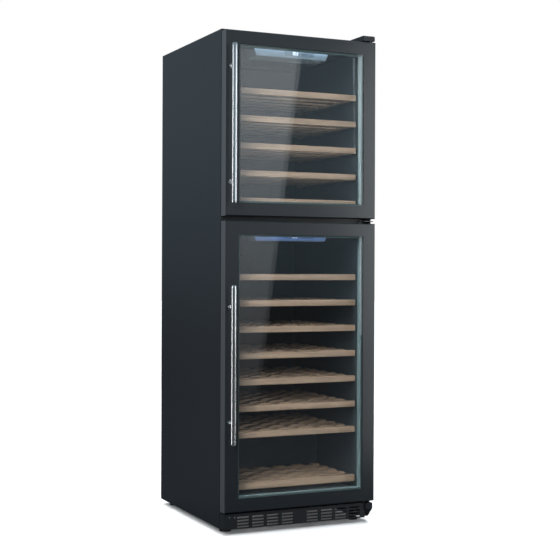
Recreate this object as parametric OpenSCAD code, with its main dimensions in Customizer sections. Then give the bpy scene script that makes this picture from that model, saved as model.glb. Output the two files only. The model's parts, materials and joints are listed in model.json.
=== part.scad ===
// Tall wine cooler with two glass doors and two temperature zones.
// Millimetres, +Z up. X runs across the front, -Y is the front.
// The origin is on the floor, under the middle of the whole object.

/* [Cabinet] */
// Width of the cabinet and of both doors
body_w = 595; // [520:1:740]
// Depth of the cabinet behind the doors
cabinet_d = 617; // [540:1:760]
// Height of the cabinet shell, feet not included
cabinet_h = 1758; // [1700:1:2140]
// Thickness of the steel sheet
sheet_t = 1.2; // [0.8:0.1:2]
// Insulated thickness of each side wall
side_wall = 39.5; // [30:0.5:52]
// Insulated thickness of the top
top_wall = 36; // [28:0.5:50]
// Insulated thickness of the back, behind the liners
rear_wall = 62; // [50:1:80]
// Insulated thickness of the lower floor
floor_wall = 38; // [30:1:50]
// Wall of the plastic liners
liner_t = 1.5; // [1:0.1:3]
// Height of the open plinth under the insulated floor
plinth_h = 61; // [50:1:76]

/* [Doors] */
// Thickness of each door
door_t = 42; // [36:0.5:50]
// Gap between the doors and the cabinet, filled by the gasket
seal_gap = 6; // [6:0.5:10]
// Height of the lower door
lower_door_h = 1019; // [860:1:1080]
// Gap between the two doors
door_split = 18; // [16:0.5:24]
// Gap between the upper door and the top of the cabinet
door_top_drop = 10; // [9:0.5:16]
// Height of the lower door's bottom edge over the cabinet's bottom edge
door_bottom_rise = 62; // [56:0.5:76]
// Width of the frame bars at the sides of a window
frame_side = 50; // [42:0.5:64]
// Width of the frame bars above and below a window
frame_end = 47; // [42:0.5:60]
// Bevel along the front edges of a door
door_bevel = 3; // [1:0.25:5]
// Thickness of each glass pane
glass_t = 4; // [3:0.5:6]
// Depth of the frame's lip in front of the outer pane
front_lip = 2.5; // [1.5:0.25:4]
// How far a pane runs into the frame's groove
glass_bite = 8; // [5:0.5:12]
// Width of the spacer bar between the panes
spacer_w = 6; // [4:0.5:10]
// Depth of the spacer bar between the panes
spacer_d = 26; // [20:0.5:26]
// Width of the door gasket
gasket_w = 21; // [16:0.5:24]
// How far the gasket lies in from the door's edge
gasket_inset = 14.5; // [13:0.5:16]

/* [Door hinges] */
// Distance of the hinge axis from the door's side edge
hinge_edge = 12; // [10:0.5:12]
// Distance of the hinge axis behind the door's front face
hinge_setback = 30; // [28:0.5:31]
// Radius of each hinge pin
hinge_pin_r = 4; // [3:0.25:5]
// Length of a hinge pin inside a door
hinge_pin_bite = 16; // [10:1:20]
// Outer radius of a hinge bush
bush_r = 7; // [6.5:0.25:8]
// Height of a bush's flange
bush_flange_h = 2; // [1:0.25:2.5]
// Thickness of the hinge plates
hinge_plate_t = 3; // [2:0.25:4]
// Width of the hinge plates
hinge_plate_w = 40; // [30:1:60]
// Length of a hinge plate on the cabinet
hinge_plate_run = 62; // [50:1:90]
// Height of the cover over the top hinge
hinge_cover_h = 14; // [12:0.5:24]

/* [Handles] */
// Diameter of each handle tube
handle_d = 19; // [14:0.5:24]
// Wall of each handle tube
handle_wall = 1.5; // [1:0.25:3]
// Distance from the door's face to the centre of a handle tube
handle_reach = 36; // [30:0.5:50]
// Distance of a handle from the door's side edge
handle_edge = 17.5; // [14:0.5:24]
// Length of each handle tube, end caps included
handle_len = 557; // [440:1:580]
// Distance between the two posts of a handle
handle_pitch = 403; // [320:1:420]
// Height of the lower handle's bottom end over the lower door's bottom edge
lower_handle_rise = 238; // [150:1:400]
// Height of the upper handle's bottom end over the upper door's bottom edge
upper_handle_rise = 41; // [20:1:50]
// Radius of each handle post
post_r = 5; // [4:0.25:7]

/* [Shelves] */
// Height between the upper zone's shelves
upper_pitch = 98; // [92:0.5:100]
// Drop from the upper ceiling to the top shelf
upper_first_drop = 162; // [140:1:180]
// Height between the lower zone's shelves
lower_pitch = 94; // [84:0.5:96]
// Drop from the lower ceiling to its top shelf
lower_first_drop = 159; // [140:1:170]
// Height of the bottom rack over the lower floor
rack_rise = 50; // [40:1:60]
// Height of a shelf's front strip
strip_h = 22; // [16:0.5:26]
// Height of the bottom rack's front strip
rack_strip_h = 25; // [18:0.5:30]
// Depth of a shelf's front strip
strip_d = 18; // [14:0.5:24]
// Distance of the shelf fronts behind the doors' front faces
shelf_setback = 70; // [66:0.5:84]
// Gap between a shelf and the liner at each side
shelf_side_gap = 6; // [5:0.5:8]
// Gap between a shelf and the duct cover behind it
shelf_rear_gap = 12; // [6:1:30]
// Depth of a cross slat
slat_d = 32; // [20:1:40]
// Thickness of a cross slat
slat_t = 13; // [10:0.5:14]
// Number of cross slats behind the front strip
slat_count = 6; // [4:1:6]
// Width of a shelf's side runners
runner_w = 12; // [8:0.5:16]
// Height of a shelf's side runners
runner_h = 12; // [9:0.5:13]
// Bottles side by side on a shelf
bottle_count = 6; // [4:1:7]
// Radius of the bottle hollows in the slats
hollow_r = 38; // [34:0.5:40]
// Depth of the bottle hollows in the slats
hollow_depth = 6; // [4:0.5:8]
// Thickness of the shelf rails' walls
rail_t = 2; // [1.5:0.25:2.5]
// Clearance between a runner and its rail
rail_clear = 0.5; // [0.3:0.1:1]

/* [Air and cooling] */
// Distance of a duct cover's face in front of the liner's back
duct_depth = 42; // [38:1:60]
// Width of the duct covers
duct_w = 440; // [340:1:460]
// Wall of the duct covers
duct_t = 2.5; // [2:0.25:3]
// Radius of the zone fans
zone_fan_r = 52; // [40:0.5:58]
// Radius of the fan shafts
shaft_r = 2; // [1.5:0.25:3]
// Radial clearance of a shaft or pin in its bore
running_clear = 0.05; // [0.03:0.01:0.09]
// Height of the compressor bay
bay_h = 270; // [255:1:300]
// Depth of the compressor bay
bay_d = 235; // [220:1:260]
// Radius of the compressor
compressor_r = 62; // [50:1:66]
// Height of the compressor's shell
compressor_h = 150; // [120:1:155]
// Radius of the condenser fan
condenser_fan_r = 66; // [50:0.5:70]
// Depth that the rear spacers stand out from the back
rear_spacer = 12; // [8:1:30]

/* [Controls] */
// Width of each ceiling control housing
housing_w = 310; // [260:1:380]
// Height of each ceiling control housing
housing_h = 38; // [30:1:50]
// Depth of each ceiling control housing
housing_d = 90; // [70:1:120]
// Distance of the housings behind the doors' front faces
housing_setback = 100; // [90:1:120]
// Length of each light strip
light_len = 300; // [200:1:320]

/* [Plinth] */
// Height of the levelling feet under the cabinet
foot_h = 19; // [16:0.5:30]
// Radius of each foot
foot_r = 21; // [16:0.5:26]
// Distance of the feet from the cabinet's sides
foot_inset = 42; // [38:1:60]
// Distance of the front feet behind the cabinet's front edge
foot_front = 46; // [36:1:90]
// Distance of the rear feet in front of the cabinet's back
foot_rear = 50; // [36:1:90]
// Distance of the kick grille behind the doors' front faces
grille_setback = 12; // [8:0.5:20]
// Thickness of the kick grille
grille_t = 3; // [2:0.25:4]
// Width of each grille slot
slot_w = 46; // [36:0.5:50]
// Distance between the grille's columns of slots
slot_pitch = 57.5; // [52:0.5:60]
// Height of each grille slot
slot_h = 6.5; // [5:0.25:7.5]
// Distance between the grille's rows of slots
slot_row = 11; // [9.5:0.25:11.5]

/* [Hidden] */
$fn = 48;

// Finishes
black_steel = [0.10, 0.11, 0.12];
black_plastic = [0.07, 0.07, 0.08];
dark_liner = [0.14, 0.15, 0.16];
beech = [0.74, 0.60, 0.46];
stainless = [0.78, 0.79, 0.80];
zinc = [0.62, 0.64, 0.66];

// Overlap that makes a cut pass cleanly through a face
eps = 1;
// Gap that keeps two separate pieces from touching
air = 0.3;
// Thickness of the face frame behind the gasket
face_t = 1.5;
// Radius of the holes for the hinge plates' screws
plate_hole_r = 2.2;
// Distance of those holes from a plate's side edges
plate_hole_in = 8;
// Distance of those holes from a plate's rear edge
plate_hole_back = 14;
// Distance of the hinge plates from the cabinet's side
plate_side = 5;
// Distance of the hinge plates' front edge behind the doors' front faces
plate_front = 7;
// Distance of a zone's floor or ceiling behind the door's end at the gap between the doors
mouth_inset = 27;
// Extra wall over the lower floor's insulation
floor_pad = 2;
// Radius of the boss round each hinge pin
boss_r = 8;
// Thickness of the folded steel in the base
base_t = 2;

// Depth planes, front to back
handle_proj = handle_reach + handle_d / 2;
overall_d = handle_proj + door_t + seal_gap + cabinet_d + rear_spacer;
door_y = -overall_d / 2 + handle_proj;
door_back = door_y + door_t;
face_y = door_back + seal_gap;
back_y = face_y + cabinet_d;
liner_back = back_y - rear_wall;
duct_y = liner_back - duct_depth;
bay_y = back_y - bay_d;

// Heights
cab_z0 = foot_h;
cab_z1 = foot_h + cabinet_h;
lower_z0 = cab_z0 + door_bottom_rise;
lower_z1 = lower_z0 + lower_door_h;
upper_z0 = lower_z1 + door_split;
upper_z1 = cab_z1 - door_top_drop;
plinth_z = cab_z0 + plinth_h;
lower_floor = plinth_z + floor_wall + floor_pad;
lower_ceiling = lower_z1 - mouth_inset;
upper_floor = upper_z0 + mouth_inset;
upper_ceiling = cab_z1 - top_wall;
bay_z1 = cab_z0 + bay_h;
step_z = bay_z1 + floor_wall;
step_y = bay_y - floor_wall;

// Widths
half_w = body_w / 2;
in_half = half_w - side_wall;
shelf_half = in_half - shelf_side_gap;

// Hinge axis
hinge_x = half_w - hinge_edge;
hinge_y = door_y + hinge_setback;
plate_x1 = half_w - plate_side;
plate_x0 = plate_x1 - hinge_plate_w;
plate_y0 = door_y + plate_front;
plate_y1 = face_y + hinge_plate_run;
plate_holes = [
    [plate_x0 + plate_hole_in, plate_y1 - plate_hole_back],
    [plate_x1 - plate_hole_in, plate_y1 - plate_hole_back]
];

// Shelves
shelf_y0 = door_y + shelf_setback;
shelf_y1 = duct_y - shelf_rear_gap;
rack_y1 = step_y - liner_t - shelf_rear_gap;
upper_top = function(i) upper_ceiling - upper_first_drop - (i - 1) * upper_pitch;
lower_top = function(i) lower_ceiling - lower_first_drop - (i - 1) * lower_pitch;
rack_top = lower_floor + rack_rise;
runner_drop = 8;
rail_start = 26;
rail_stop = 60;

// Handle
handle_x = -half_w + handle_edge;
handle_y = door_y - handle_reach;

// A polygon of [y, z] points drawn out along X
module along_x(x0, x1, points) {
    translate([x0, 0, 0]) rotate([90, 0, 90]) linear_extrude(x1 - x0) polygon(points);
}

// A box from its lowest to its highest corner
module block(lo, hi) {
    translate(lo) cube(hi - lo);
}

// An upright rectangular ring in the XZ plane, between two depths
module ring_xz(x0, x1, z0, z1, bar, y0, y1) {
    difference() {
        block([x0, y0, z0], [x1, y1, z1]);
        block([x0 + bar, y0 - eps, z0 + bar], [x1 - bar, y1 + eps, z1 - bar]);
    }
}

// A cylinder along Y that starts at the given point
module rod_y(x, y, z, r, len) {
    translate([x, y, z]) rotate([-90, 0, 0]) cylinder(r = r, h = len);
}

// A shallow round-head screw, head up along +Z
module screw_z(r = 4, h = 2.2) {
    difference() {
        rotate_extrude() polygon([[0, 0], [r, 0], [r, h * 0.4], [r * 0.6, h], [0, h]]);
        translate([0, 0, h]) cube([r * 1.1, r * 0.3, h], center = true);
        translate([0, 0, h]) cube([r * 0.3, r * 1.1, h], center = true);
    }
}

// ---------------------------------------------------------------- cabinet

module cabinet_wrap() {
    color(black_steel) difference() {
        block([-half_w, face_y, cab_z0], [half_w, back_y, cab_z1]);
        block([-half_w + sheet_t, face_y - eps, cab_z0 - eps],
            [half_w - sheet_t, back_y + eps, cab_z1 - sheet_t]);
        for (p = plate_holes) translate([p[0], p[1], cab_z1 - sheet_t - eps])
            cylinder(r = plate_hole_r, h = sheet_t + 2 * eps);
    }
}

module face_frame() {
    color(black_plastic) difference() {
        block([-half_w + sheet_t, face_y, plinth_z + sheet_t],
            [half_w - sheet_t, face_y + face_t, cab_z1 - sheet_t]);
        block([-in_half - liner_t, face_y - eps, lower_floor - liner_t],
            [in_half + liner_t, face_y + face_t + eps, lower_ceiling + liner_t]);
        block([-in_half - liner_t, face_y - eps, upper_floor - liner_t],
            [in_half + liner_t, face_y + face_t + eps, upper_ceiling + liner_t]);
    }
}

// Bent sheet: the back, the roof of the compressor bay and the bay's front wall
anti_tip_pitch = 300;
anti_tip_r = 2.5;
anti_tip_z = cab_z1 - 34;
spacer_x = half_w - 70;
spacer_end = 120;
spacer_r = 14;

module back_panel() {
    t = sheet_t;
    color(black_steel) {
        difference() {
            along_x(-half_w + sheet_t, half_w - sheet_t, [
                [back_y, cab_z1 - t], [back_y, bay_z1], [bay_y, bay_z1], [bay_y, plinth_z + t],
                [bay_y - t, plinth_z + t], [bay_y - t, bay_z1 + t], [back_y - t, bay_z1 + t],
                [back_y - t, cab_z1 - t]]);
            for (x = [-anti_tip_pitch / 2, anti_tip_pitch / 2])
                rod_y(x, back_y - 4, anti_tip_z, anti_tip_r, 8);
        }
        for (x = [-spacer_x, spacer_x], z = [cab_z1 - spacer_end, bay_z1 + spacer_end])
            rod_y(x, back_y, z, spacer_r, rear_spacer);
    }
}

// Outline of the lower zone, with the step over the compressor bay, grown outwards by a wall
module lower_zone_shape(grow, front) {
    along_x(-in_half - grow, in_half + grow, [
        [front, lower_floor - grow], [step_y - liner_t + grow, lower_floor - grow],
        [step_y - liner_t + grow, step_z - grow], [liner_back + grow, step_z - grow],
        [liner_back + grow, lower_ceiling + grow], [front, lower_ceiling + grow]]);
}

module upper_liner() {
    color(dark_liner) difference() {
        block([-in_half - liner_t, face_y, upper_floor - liner_t],
            [in_half + liner_t, liner_back + liner_t, upper_ceiling + liner_t]);
        block([-in_half, face_y - eps, upper_floor], [in_half, liner_back, upper_ceiling]);
    }
}

module lower_liner() {
    color(dark_liner) difference() {
        lower_zone_shape(liner_t, face_y);
        lower_zone_shape(0, face_y - eps);
    }
}

module insulation_foam() {
    color([0.86, 0.80, 0.55]) difference() {
        along_x(-half_w + sheet_t, half_w - sheet_t, [
            [face_y + face_t, plinth_z + sheet_t], [bay_y - sheet_t, plinth_z + sheet_t],
            [bay_y - sheet_t, bay_z1 + sheet_t], [back_y - sheet_t, bay_z1 + sheet_t],
            [back_y - sheet_t, cab_z1 - sheet_t], [face_y + face_t, cab_z1 - sheet_t]]);
        lower_zone_shape(liner_t, face_y - eps);
        block([-in_half - liner_t, face_y - eps, upper_floor - liner_t],
            [in_half + liner_t, liner_back + liner_t, upper_ceiling + liner_t]);
        for (x = [-anti_tip_pitch / 2, anti_tip_pitch / 2])
            rod_y(x, back_y - 16, anti_tip_z, anti_tip_r + 1, 20);
        for (p = plate_holes) translate([p[0], p[1], cab_z1 - 14]) cylinder(r = 3, h = 20);
    }
}

// ---------------------------------------------------------------- base

rail_w = 34;
foot_stud_r = 5;
mount_stud_r = 4;
bay_plate_z = cab_z0 + 22;

module base_side(side) {
    x_out = half_w - sheet_t;
    y0 = face_y + base_t;
    y1 = back_y - base_t;
    mirror([side < 0 ? 1 : 0, 0, 0]) difference() {
        union() {
            block([x_out - base_t, y0, cab_z0], [x_out, y1, plinth_z]);
            block([x_out - rail_w - foot_r, y0, cab_z0], [x_out, y1, cab_z0 + base_t]);
        }
        for (y = [face_y + foot_front, back_y - foot_rear])
            translate([half_w - foot_inset, y, cab_z0 - eps])
                cylinder(r = foot_stud_r + air, h = base_t + 2 * eps);
    }
}

module base_frame() {
    x_out = half_w - sheet_t;
    x_in = x_out - base_t;
    y_in = back_y - base_t;
    color(zinc) difference() {
        union() {
            base_side(1);
            base_side(-1);
            block([-x_out, face_y, plinth_z], [x_out, bay_y - sheet_t, plinth_z + sheet_t]);
            block([-x_in, face_y + base_t, plinth_z - 16], [x_in, face_y + 2 * base_t, plinth_z]);
            block([-x_in, bay_y, bay_plate_z], [x_in, y_in, bay_plate_z + base_t]);
            block([-x_in, y_in - base_t, cab_z0], [x_in, y_in, bay_plate_z]);
        }
        for (p = compressor_feet) translate([p[0], p[1], bay_plate_z - eps])
            cylinder(r = mount_stud_r + air, h = base_t + 2 * eps);
    }
}

module foot(x, y) {
    translate([x, y, 0]) {
        rotate_extrude() polygon([
            [0, 0], [foot_r - 1, 0], [foot_r, 1], [foot_r, 7], [foot_r - 3, 9],
            [9, 10], [9, foot_h - air], [0, foot_h - air]]);
        translate([0, 0, foot_h - eps]) cylinder(r = foot_stud_r, h = 16);
    }
}

module levelling_feet() {
    color(black_plastic)
        for (x = [-half_w + foot_inset, half_w - foot_inset])
            for (y = [face_y + foot_front, back_y - foot_rear])
                foot(x, y);
}

grille_x0 = -half_w + 1.5;
grille_x1 = plate_x0 + 12;
grille_y = door_y + grille_setback;
grille_z0 = cab_z0 + 1;
grille_z1 = lower_z0 - 7;
slot_rows = 4;
slot_columns = 4;
slot_top = grille_z1 - 14;
// Middle of the first column of slots, beside the grille's solid centre
slot_first = 49.625;
grille_return = 12;
grille_screws = [for (x = [22, 41]) grille_x0 + x];
grille_screw_z = slot_top + 1;

module kick_grille() {
    color(black_plastic) difference() {
        union() {
            block([grille_x0, grille_y, grille_z0], [grille_x1, grille_y + grille_t, grille_z1]);
            block([grille_x0, grille_y, grille_z1 - grille_t], [grille_x1, face_y - air, grille_z1]);
            block([grille_x0, grille_y, grille_z0], [grille_x0 + grille_t, face_y - air, grille_z1]);
            block([grille_x0, grille_y, grille_z0],
                [grille_x1, grille_y + grille_return, grille_z0 + grille_t]);
        }
        for (side = [-1, 1], c = [0 : slot_columns - 1], r = [0 : slot_rows - 1]) {
            x = side * (slot_first + c * slot_pitch);
            z = slot_top - r * slot_row;
            block([x - slot_w / 2, grille_y - eps, z - slot_h / 2],
                [x + slot_w / 2, grille_y + grille_t + eps, z + slot_h / 2]);
        }
        for (x = grille_screws)
            rod_y(x, grille_y - eps, grille_screw_z, 2.2, grille_t + 2 * eps);
    }
}

// ---------------------------------------------------------------- hinges

module plate_z(z0) {
    difference() {
        block([plate_x0, plate_y0, z0], [plate_x1, plate_y1, z0 + hinge_plate_t]);
        for (p = plate_holes) translate([p[0], p[1], z0 - eps])
            cylinder(r = plate_hole_r + air, h = hinge_plate_t + 2 * eps);
    }
}

module hinge_pin(z0, z1) {
    translate([hinge_x, hinge_y, z0]) cylinder(r = hinge_pin_r, h = z1 - z0);
}

module hinge_boss(z0, z1) {
    translate([hinge_x, hinge_y, z0]) cylinder(r = boss_r, h = z1 - z0);
}

module top_hinge() {
    color(zinc) union() {
        plate_z(cab_z1);
        hinge_boss(upper_z1 + bush_flange_h + air, cab_z1 + 1);
        hinge_pin(upper_z1 - hinge_pin_bite, cab_z1 + 1);
    }
}

middle_z = (lower_z1 + upper_z0 - hinge_plate_t) / 2;

// Screwed to the cabinet's face through an upright flange
module middle_hinge() {
    flange_half = 7;
    z = middle_z + hinge_plate_t / 2;
    color(zinc) union() {
        block([plate_x0, plate_y0, middle_z], [plate_x1, face_y - air, middle_z + hinge_plate_t]);
        block([plate_x0, face_y - hinge_plate_t, z - flange_half], [plate_x1, face_y - air, z + flange_half]);
        hinge_boss(lower_z1 + bush_flange_h + air, upper_z0 - bush_flange_h - air);
        hinge_pin(lower_z1 - hinge_pin_bite, upper_z0 + hinge_pin_bite);
    }
}

bracket_x0 = grille_x1 + air;
bracket_z1 = lower_z0 - 8;

// Pressed bracket with a sloping front, a side cheek and the lower pin
module bottom_hinge() {
    t = hinge_plate_t;
    lean_y = door_y + 4;
    heel_y = door_y + 38;
    heel_run = 5;
    bend_z = cab_z0 + 33;
    color(black_steel) union() {
        along_x(bracket_x0, plate_x1, [
            [lean_y, bracket_z1], [lean_y, bend_z], [heel_y, cab_z0], [heel_y + heel_run, cab_z0],
            [lean_y + t, bend_z + 1], [lean_y + t, bracket_z1 - t], [face_y - air, bracket_z1 - t],
            [face_y - air, bracket_z1]]);
        along_x(plate_x1 - t, plate_x1, [
            [lean_y, bracket_z1], [lean_y, bend_z], [heel_y, cab_z0], [face_y - air, cab_z0],
            [face_y - air, bracket_z1]]);
        hinge_boss(bracket_z1 - 1, lower_z0 - bush_flange_h - air);
        hinge_pin(bracket_z1 - 1, lower_z0 + hinge_pin_bite);
    }
}

// Moulded cover, open below, over the top hinge
module hinge_cover() {
    x0 = plate_x0 - 3;
    x1 = plate_x1 + 3;
    y0 = plate_y0 - 3;
    y1 = plate_y1 + 5;
    top = cab_z1 + hinge_cover_h;
    color(black_plastic) difference() {
        along_x(x0, x1, [
            [y0, cab_z1 - 5], [y0, top - 5], [y0 + 5, top], [y1 - 8, top], [y1, top - 6],
            [y1, cab_z1 + air], [face_y - 1, cab_z1 + air], [face_y - 1, cab_z1 - 5]]);
        block([x0 + 2, y0 + 2, cab_z1 - 8], [x1 - 2, y1 - 2, top - 7]);
    }
}

module cabinet_screws() {
    color(zinc) {
        for (p = plate_holes)
            translate([p[0], p[1], cab_z1 + hinge_plate_t]) {
                screw_z(3.6, 2.4);
                translate([0, 0, -12]) cylinder(r = 2, h = 12);
            }
        for (x = grille_screws)
            translate([x, grille_y, grille_screw_z]) {
                rotate([90, 0, 0]) screw_z(3.4, 1.8);
                rotate([-90, 0, 0]) cylinder(r = 1.9, h = 10);
            }
        for (x = [-half_w + 14, half_w - 14], z = [cab_z1 - 20, cab_z1 - 600, bay_z1 + 380, bay_z1 + 20])
            translate([x, back_y, z]) rotate([-90, 0, 0]) screw_z(4, 2);
    }
}

// ---------------------------------------------------------------- doors

bush_bore = hinge_pin_bite + 3;

module door_frame(z0, z1) {
    b = door_bevel;
    groove_x = half_w - frame_side + glass_bite;
    groove_z = frame_end - glass_bite;
    inner_y = door_y + front_lip + glass_t + spacer_d;
    difference() {
        intersection() {
            translate([0, 0, z0]) linear_extrude(z1 - z0) polygon([
                [-half_w, door_back], [-half_w, door_y + b], [-half_w + b, door_y],
                [half_w - b, door_y], [half_w, door_y + b], [half_w, door_back]]);
            along_x(-half_w, half_w, [
                [door_back, z0], [door_y + b, z0], [door_y, z0 + b], [door_y, z1 - b],
                [door_y + b, z1], [door_back, z1]]);
        }
        block([-half_w + frame_side, door_y - eps, z0 + frame_end],
            [half_w - frame_side, door_back + eps, z1 - frame_end]);
        for (y = [door_y + front_lip, inner_y])
            block([-groove_x, y, z0 + groove_z], [groove_x, y + glass_t, z1 - groove_z]);
        for (z = [z0 - eps, z1 - bush_bore]) translate([hinge_x, hinge_y, z])
            cylinder(r = bush_r, h = bush_bore + eps);
    }
}

module door_pane(z0, z1, y) {
    grow = glass_bite - air;
    block([-half_w + frame_side - grow, y, z0 + frame_end - grow],
        [half_w - frame_side + grow, y + glass_t, z1 - frame_end + grow]);
}

module door_spacer(z0, z1) {
    y = door_y + front_lip + glass_t;
    x = half_w - frame_side - air;
    inset = frame_end + air;
    ring_xz(-x, x, z0 + inset, z1 - inset, spacer_w, y, y + spacer_d);
}

// Two ridges on a flat base, as a folded magnetic seal looks
module door_gasket(z0, z1) {
    i = gasket_inset;
    x = half_w - i;
    ring_xz(-x, x, z0 + i, z1 - i, gasket_w, door_back, door_back + 2);
    ring_xz(-x + 2, x - 2, z0 + i + 2, z1 - i - 2, 7, door_back + 2, face_y - 0.2);
    ring_xz(-x + 12, x - 12, z0 + i + 12, z1 - i - 12, gasket_w - 14, door_back + 2, face_y - 0.2);
}

module handle_tube(z0) {
    r = handle_d / 2;
    translate([handle_x, handle_y, z0]) {
        difference() {
            translate([0, 0, 4]) cylinder(r = r, h = handle_len - 8);
            translate([0, 0, 3]) cylinder(r = r - handle_wall, h = handle_len - 6);
        }
        for (end = [0, 1]) translate([0, 0, end * handle_len]) mirror([0, 0, end])
            rotate_extrude() polygon([[0, 0], [r - 3, 0], [r - 1, 0.8], [r, 2.4], [r, 4],
                [r - handle_wall - 0.1, 4], [r - handle_wall - 0.1, 14], [0, 14]]);
    }
}

module handle_posts(z0) {
    margin = (handle_len - handle_pitch) / 2;
    for (z = [z0 + margin, z0 + handle_len - margin]) {
        difference() {
            union() {
                rod_y(handle_x, handle_y + 4, z, post_r, handle_reach - 4);
                rod_y(handle_x, door_y - 2.5, z, post_r + 2.5, 2.5);
            }
            translate([handle_x, handle_y, z - 20]) cylinder(r = handle_d / 2, h = 40);
        }
    }
}

module hinge_bush(z, up) {
    translate([hinge_x, hinge_y, z]) mirror([0, 0, up ? 0 : 1]) difference() {
        union() {
            translate([0, 0, -hinge_pin_bite - 2]) cylinder(r = bush_r - 0.02, h = hinge_pin_bite + 2);
            cylinder(r = bush_r + 2.5, h = bush_flange_h);
        }
        translate([0, 0, -hinge_pin_bite - 1])
            cylinder(r = hinge_pin_r + running_clear, h = hinge_pin_bite + 10);
    }
}

module door_bushes(z0, z1) {
    hinge_bush(z1, true);
    hinge_bush(z0, false);
}

module upper_door_frame() { color(black_steel) door_frame(upper_z0, upper_z1); }
module upper_door_outer_glass() {
    color([0.6, 0.7, 0.7, 0.3]) door_pane(upper_z0, upper_z1, door_y + front_lip);
}
module upper_door_inner_glass() {
    color([0.6, 0.7, 0.7, 0.3]) door_pane(upper_z0, upper_z1, door_y + front_lip + glass_t + spacer_d);
}
module upper_door_spacer() { color([0.5, 0.6, 0.62]) door_spacer(upper_z0, upper_z1); }
module upper_door_gasket() { color(black_plastic) door_gasket(upper_z0, upper_z1); }
module upper_door_handle() { color(stainless) handle_tube(upper_z0 + upper_handle_rise); }
module upper_handle_posts() { color(stainless) handle_posts(upper_z0 + upper_handle_rise); }
module upper_door_bushes() { color(black_plastic) door_bushes(upper_z0, upper_z1); }

module lower_door_frame() { color(black_steel) door_frame(lower_z0, lower_z1); }
module lower_door_outer_glass() {
    color([0.6, 0.7, 0.7, 0.3]) door_pane(lower_z0, lower_z1, door_y + front_lip);
}
module lower_door_inner_glass() {
    color([0.6, 0.7, 0.7, 0.3]) door_pane(lower_z0, lower_z1, door_y + front_lip + glass_t + spacer_d);
}
module lower_door_spacer() { color([0.5, 0.6, 0.62]) door_spacer(lower_z0, lower_z1); }
module lower_door_gasket() { color(black_plastic) door_gasket(lower_z0, lower_z1); }
module lower_door_handle() { color(stainless) handle_tube(lower_z0 + lower_handle_rise); }
module lower_handle_posts() { color(stainless) handle_posts(lower_z0 + lower_handle_rise); }
module lower_door_bushes() { color(black_plastic) door_bushes(lower_z0, lower_z1); }

// ---------------------------------------------------------------- shelves

// A front strip, two side runners and cross slats with a hollow for each bottle
module shelf(top, y1, front_h, slats) {
    depth = y1 - shelf_y0;
    low = top - front_h;
    slat_top = top - 1;
    slat_half = shelf_half - runner_w / 2;
    pitch = (depth - strip_d - slat_d) / (slats - 0.35);
    bottle_pitch = 2 * (shelf_half - 10) / bottle_count;
    color(beech) difference() {
        union() {
            along_x(-shelf_half, shelf_half, [
                [shelf_y0, low + 2], [shelf_y0 + 2, low], [shelf_y0 + strip_d, low],
                [shelf_y0 + strip_d, top], [shelf_y0 + 2, top], [shelf_y0, top - 2]]);
            for (side = [-1, 1]) {
                x = side * (shelf_half - runner_w / 2);
                block([x - runner_w / 2, shelf_y0 + strip_d - 1, top - runner_drop - runner_h],
                    [x + runner_w / 2, y1, top - runner_drop]);
            }
            for (i = [1 : slats])
                block([-slat_half, y1 - slat_d - (slats - i) * pitch, slat_top - slat_t],
                    [slat_half, y1 - (slats - i) * pitch, slat_top]);
        }
        for (i = [0 : bottle_count - 1])
            rod_y((i - (bottle_count - 1) / 2) * bottle_pitch, shelf_y0 + strip_d + 1,
                slat_top - hollow_depth + hollow_r, hollow_r, depth);
    }
}

module upper_shelf_1() { shelf(upper_top(1), shelf_y1, strip_h, slat_count); }
module upper_shelf_2() { shelf(upper_top(2), shelf_y1, strip_h, slat_count); }
module upper_shelf_3() { shelf(upper_top(3), shelf_y1, strip_h, slat_count); }
module upper_shelf_4() { shelf(upper_top(4), shelf_y1, strip_h, slat_count); }
module upper_shelf_5() { shelf(upper_top(5), shelf_y1, strip_h, slat_count); }
module lower_shelf_1() { shelf(lower_top(1), shelf_y1, strip_h, slat_count); }
module lower_shelf_2() { shelf(lower_top(2), shelf_y1, strip_h, slat_count); }
module lower_shelf_3() { shelf(lower_top(3), shelf_y1, strip_h, slat_count); }
module lower_shelf_4() { shelf(lower_top(4), shelf_y1, strip_h, slat_count); }
module lower_shelf_5() { shelf(lower_top(5), shelf_y1, strip_h, slat_count); }
module lower_shelf_6() { shelf(lower_top(6), shelf_y1, strip_h, slat_count); }
module lower_shelf_7() { shelf(lower_top(7), shelf_y1, strip_h, slat_count); }
module bottom_rack() { shelf(rack_top, rack_y1, rack_strip_h, slat_count - 2); }

// A channel on the liner wall that holds a shelf's runner from below, beside and above
module shelf_rail(top, y1, side) {
    low = top - runner_drop - runner_h - rail_clear;
    high = top - runner_drop + rail_clear;
    web = in_half - shelf_half - rail_clear;
    lip = runner_w / 2 - 2;
    mirror([side < 0 ? 1 : 0, 0, 0]) union() {
        block([in_half - web, shelf_y0 + rail_start, low - rail_t], [in_half, y1 - rail_stop, high + rail_t]);
        block([shelf_half - runner_w, shelf_y0 + rail_start, low - rail_t], [in_half, y1 - rail_stop, low]);
        block([shelf_half - lip, shelf_y0 + rail_start, high], [in_half, y1 - rail_stop, high + rail_t]);
    }
}

module shelf_rails() {
    color(black_plastic) for (side = [-1, 1]) {
        for (i = [1 : 5]) shelf_rail(upper_top(i), shelf_y1, side);
        for (i = [1 : 7]) shelf_rail(lower_top(i), shelf_y1, side);
        shelf_rail(rack_top, rack_y1, side);
    }
}

// ---------------------------------------------------------------- air ducts and fans

upper_fan_z = upper_ceiling - 110;
lower_fan_z = lower_ceiling - 110;
fan_depth = 18;
fan_y = duct_y + duct_t + 5;
fan_hole_r = zone_fan_r + 4;

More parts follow.
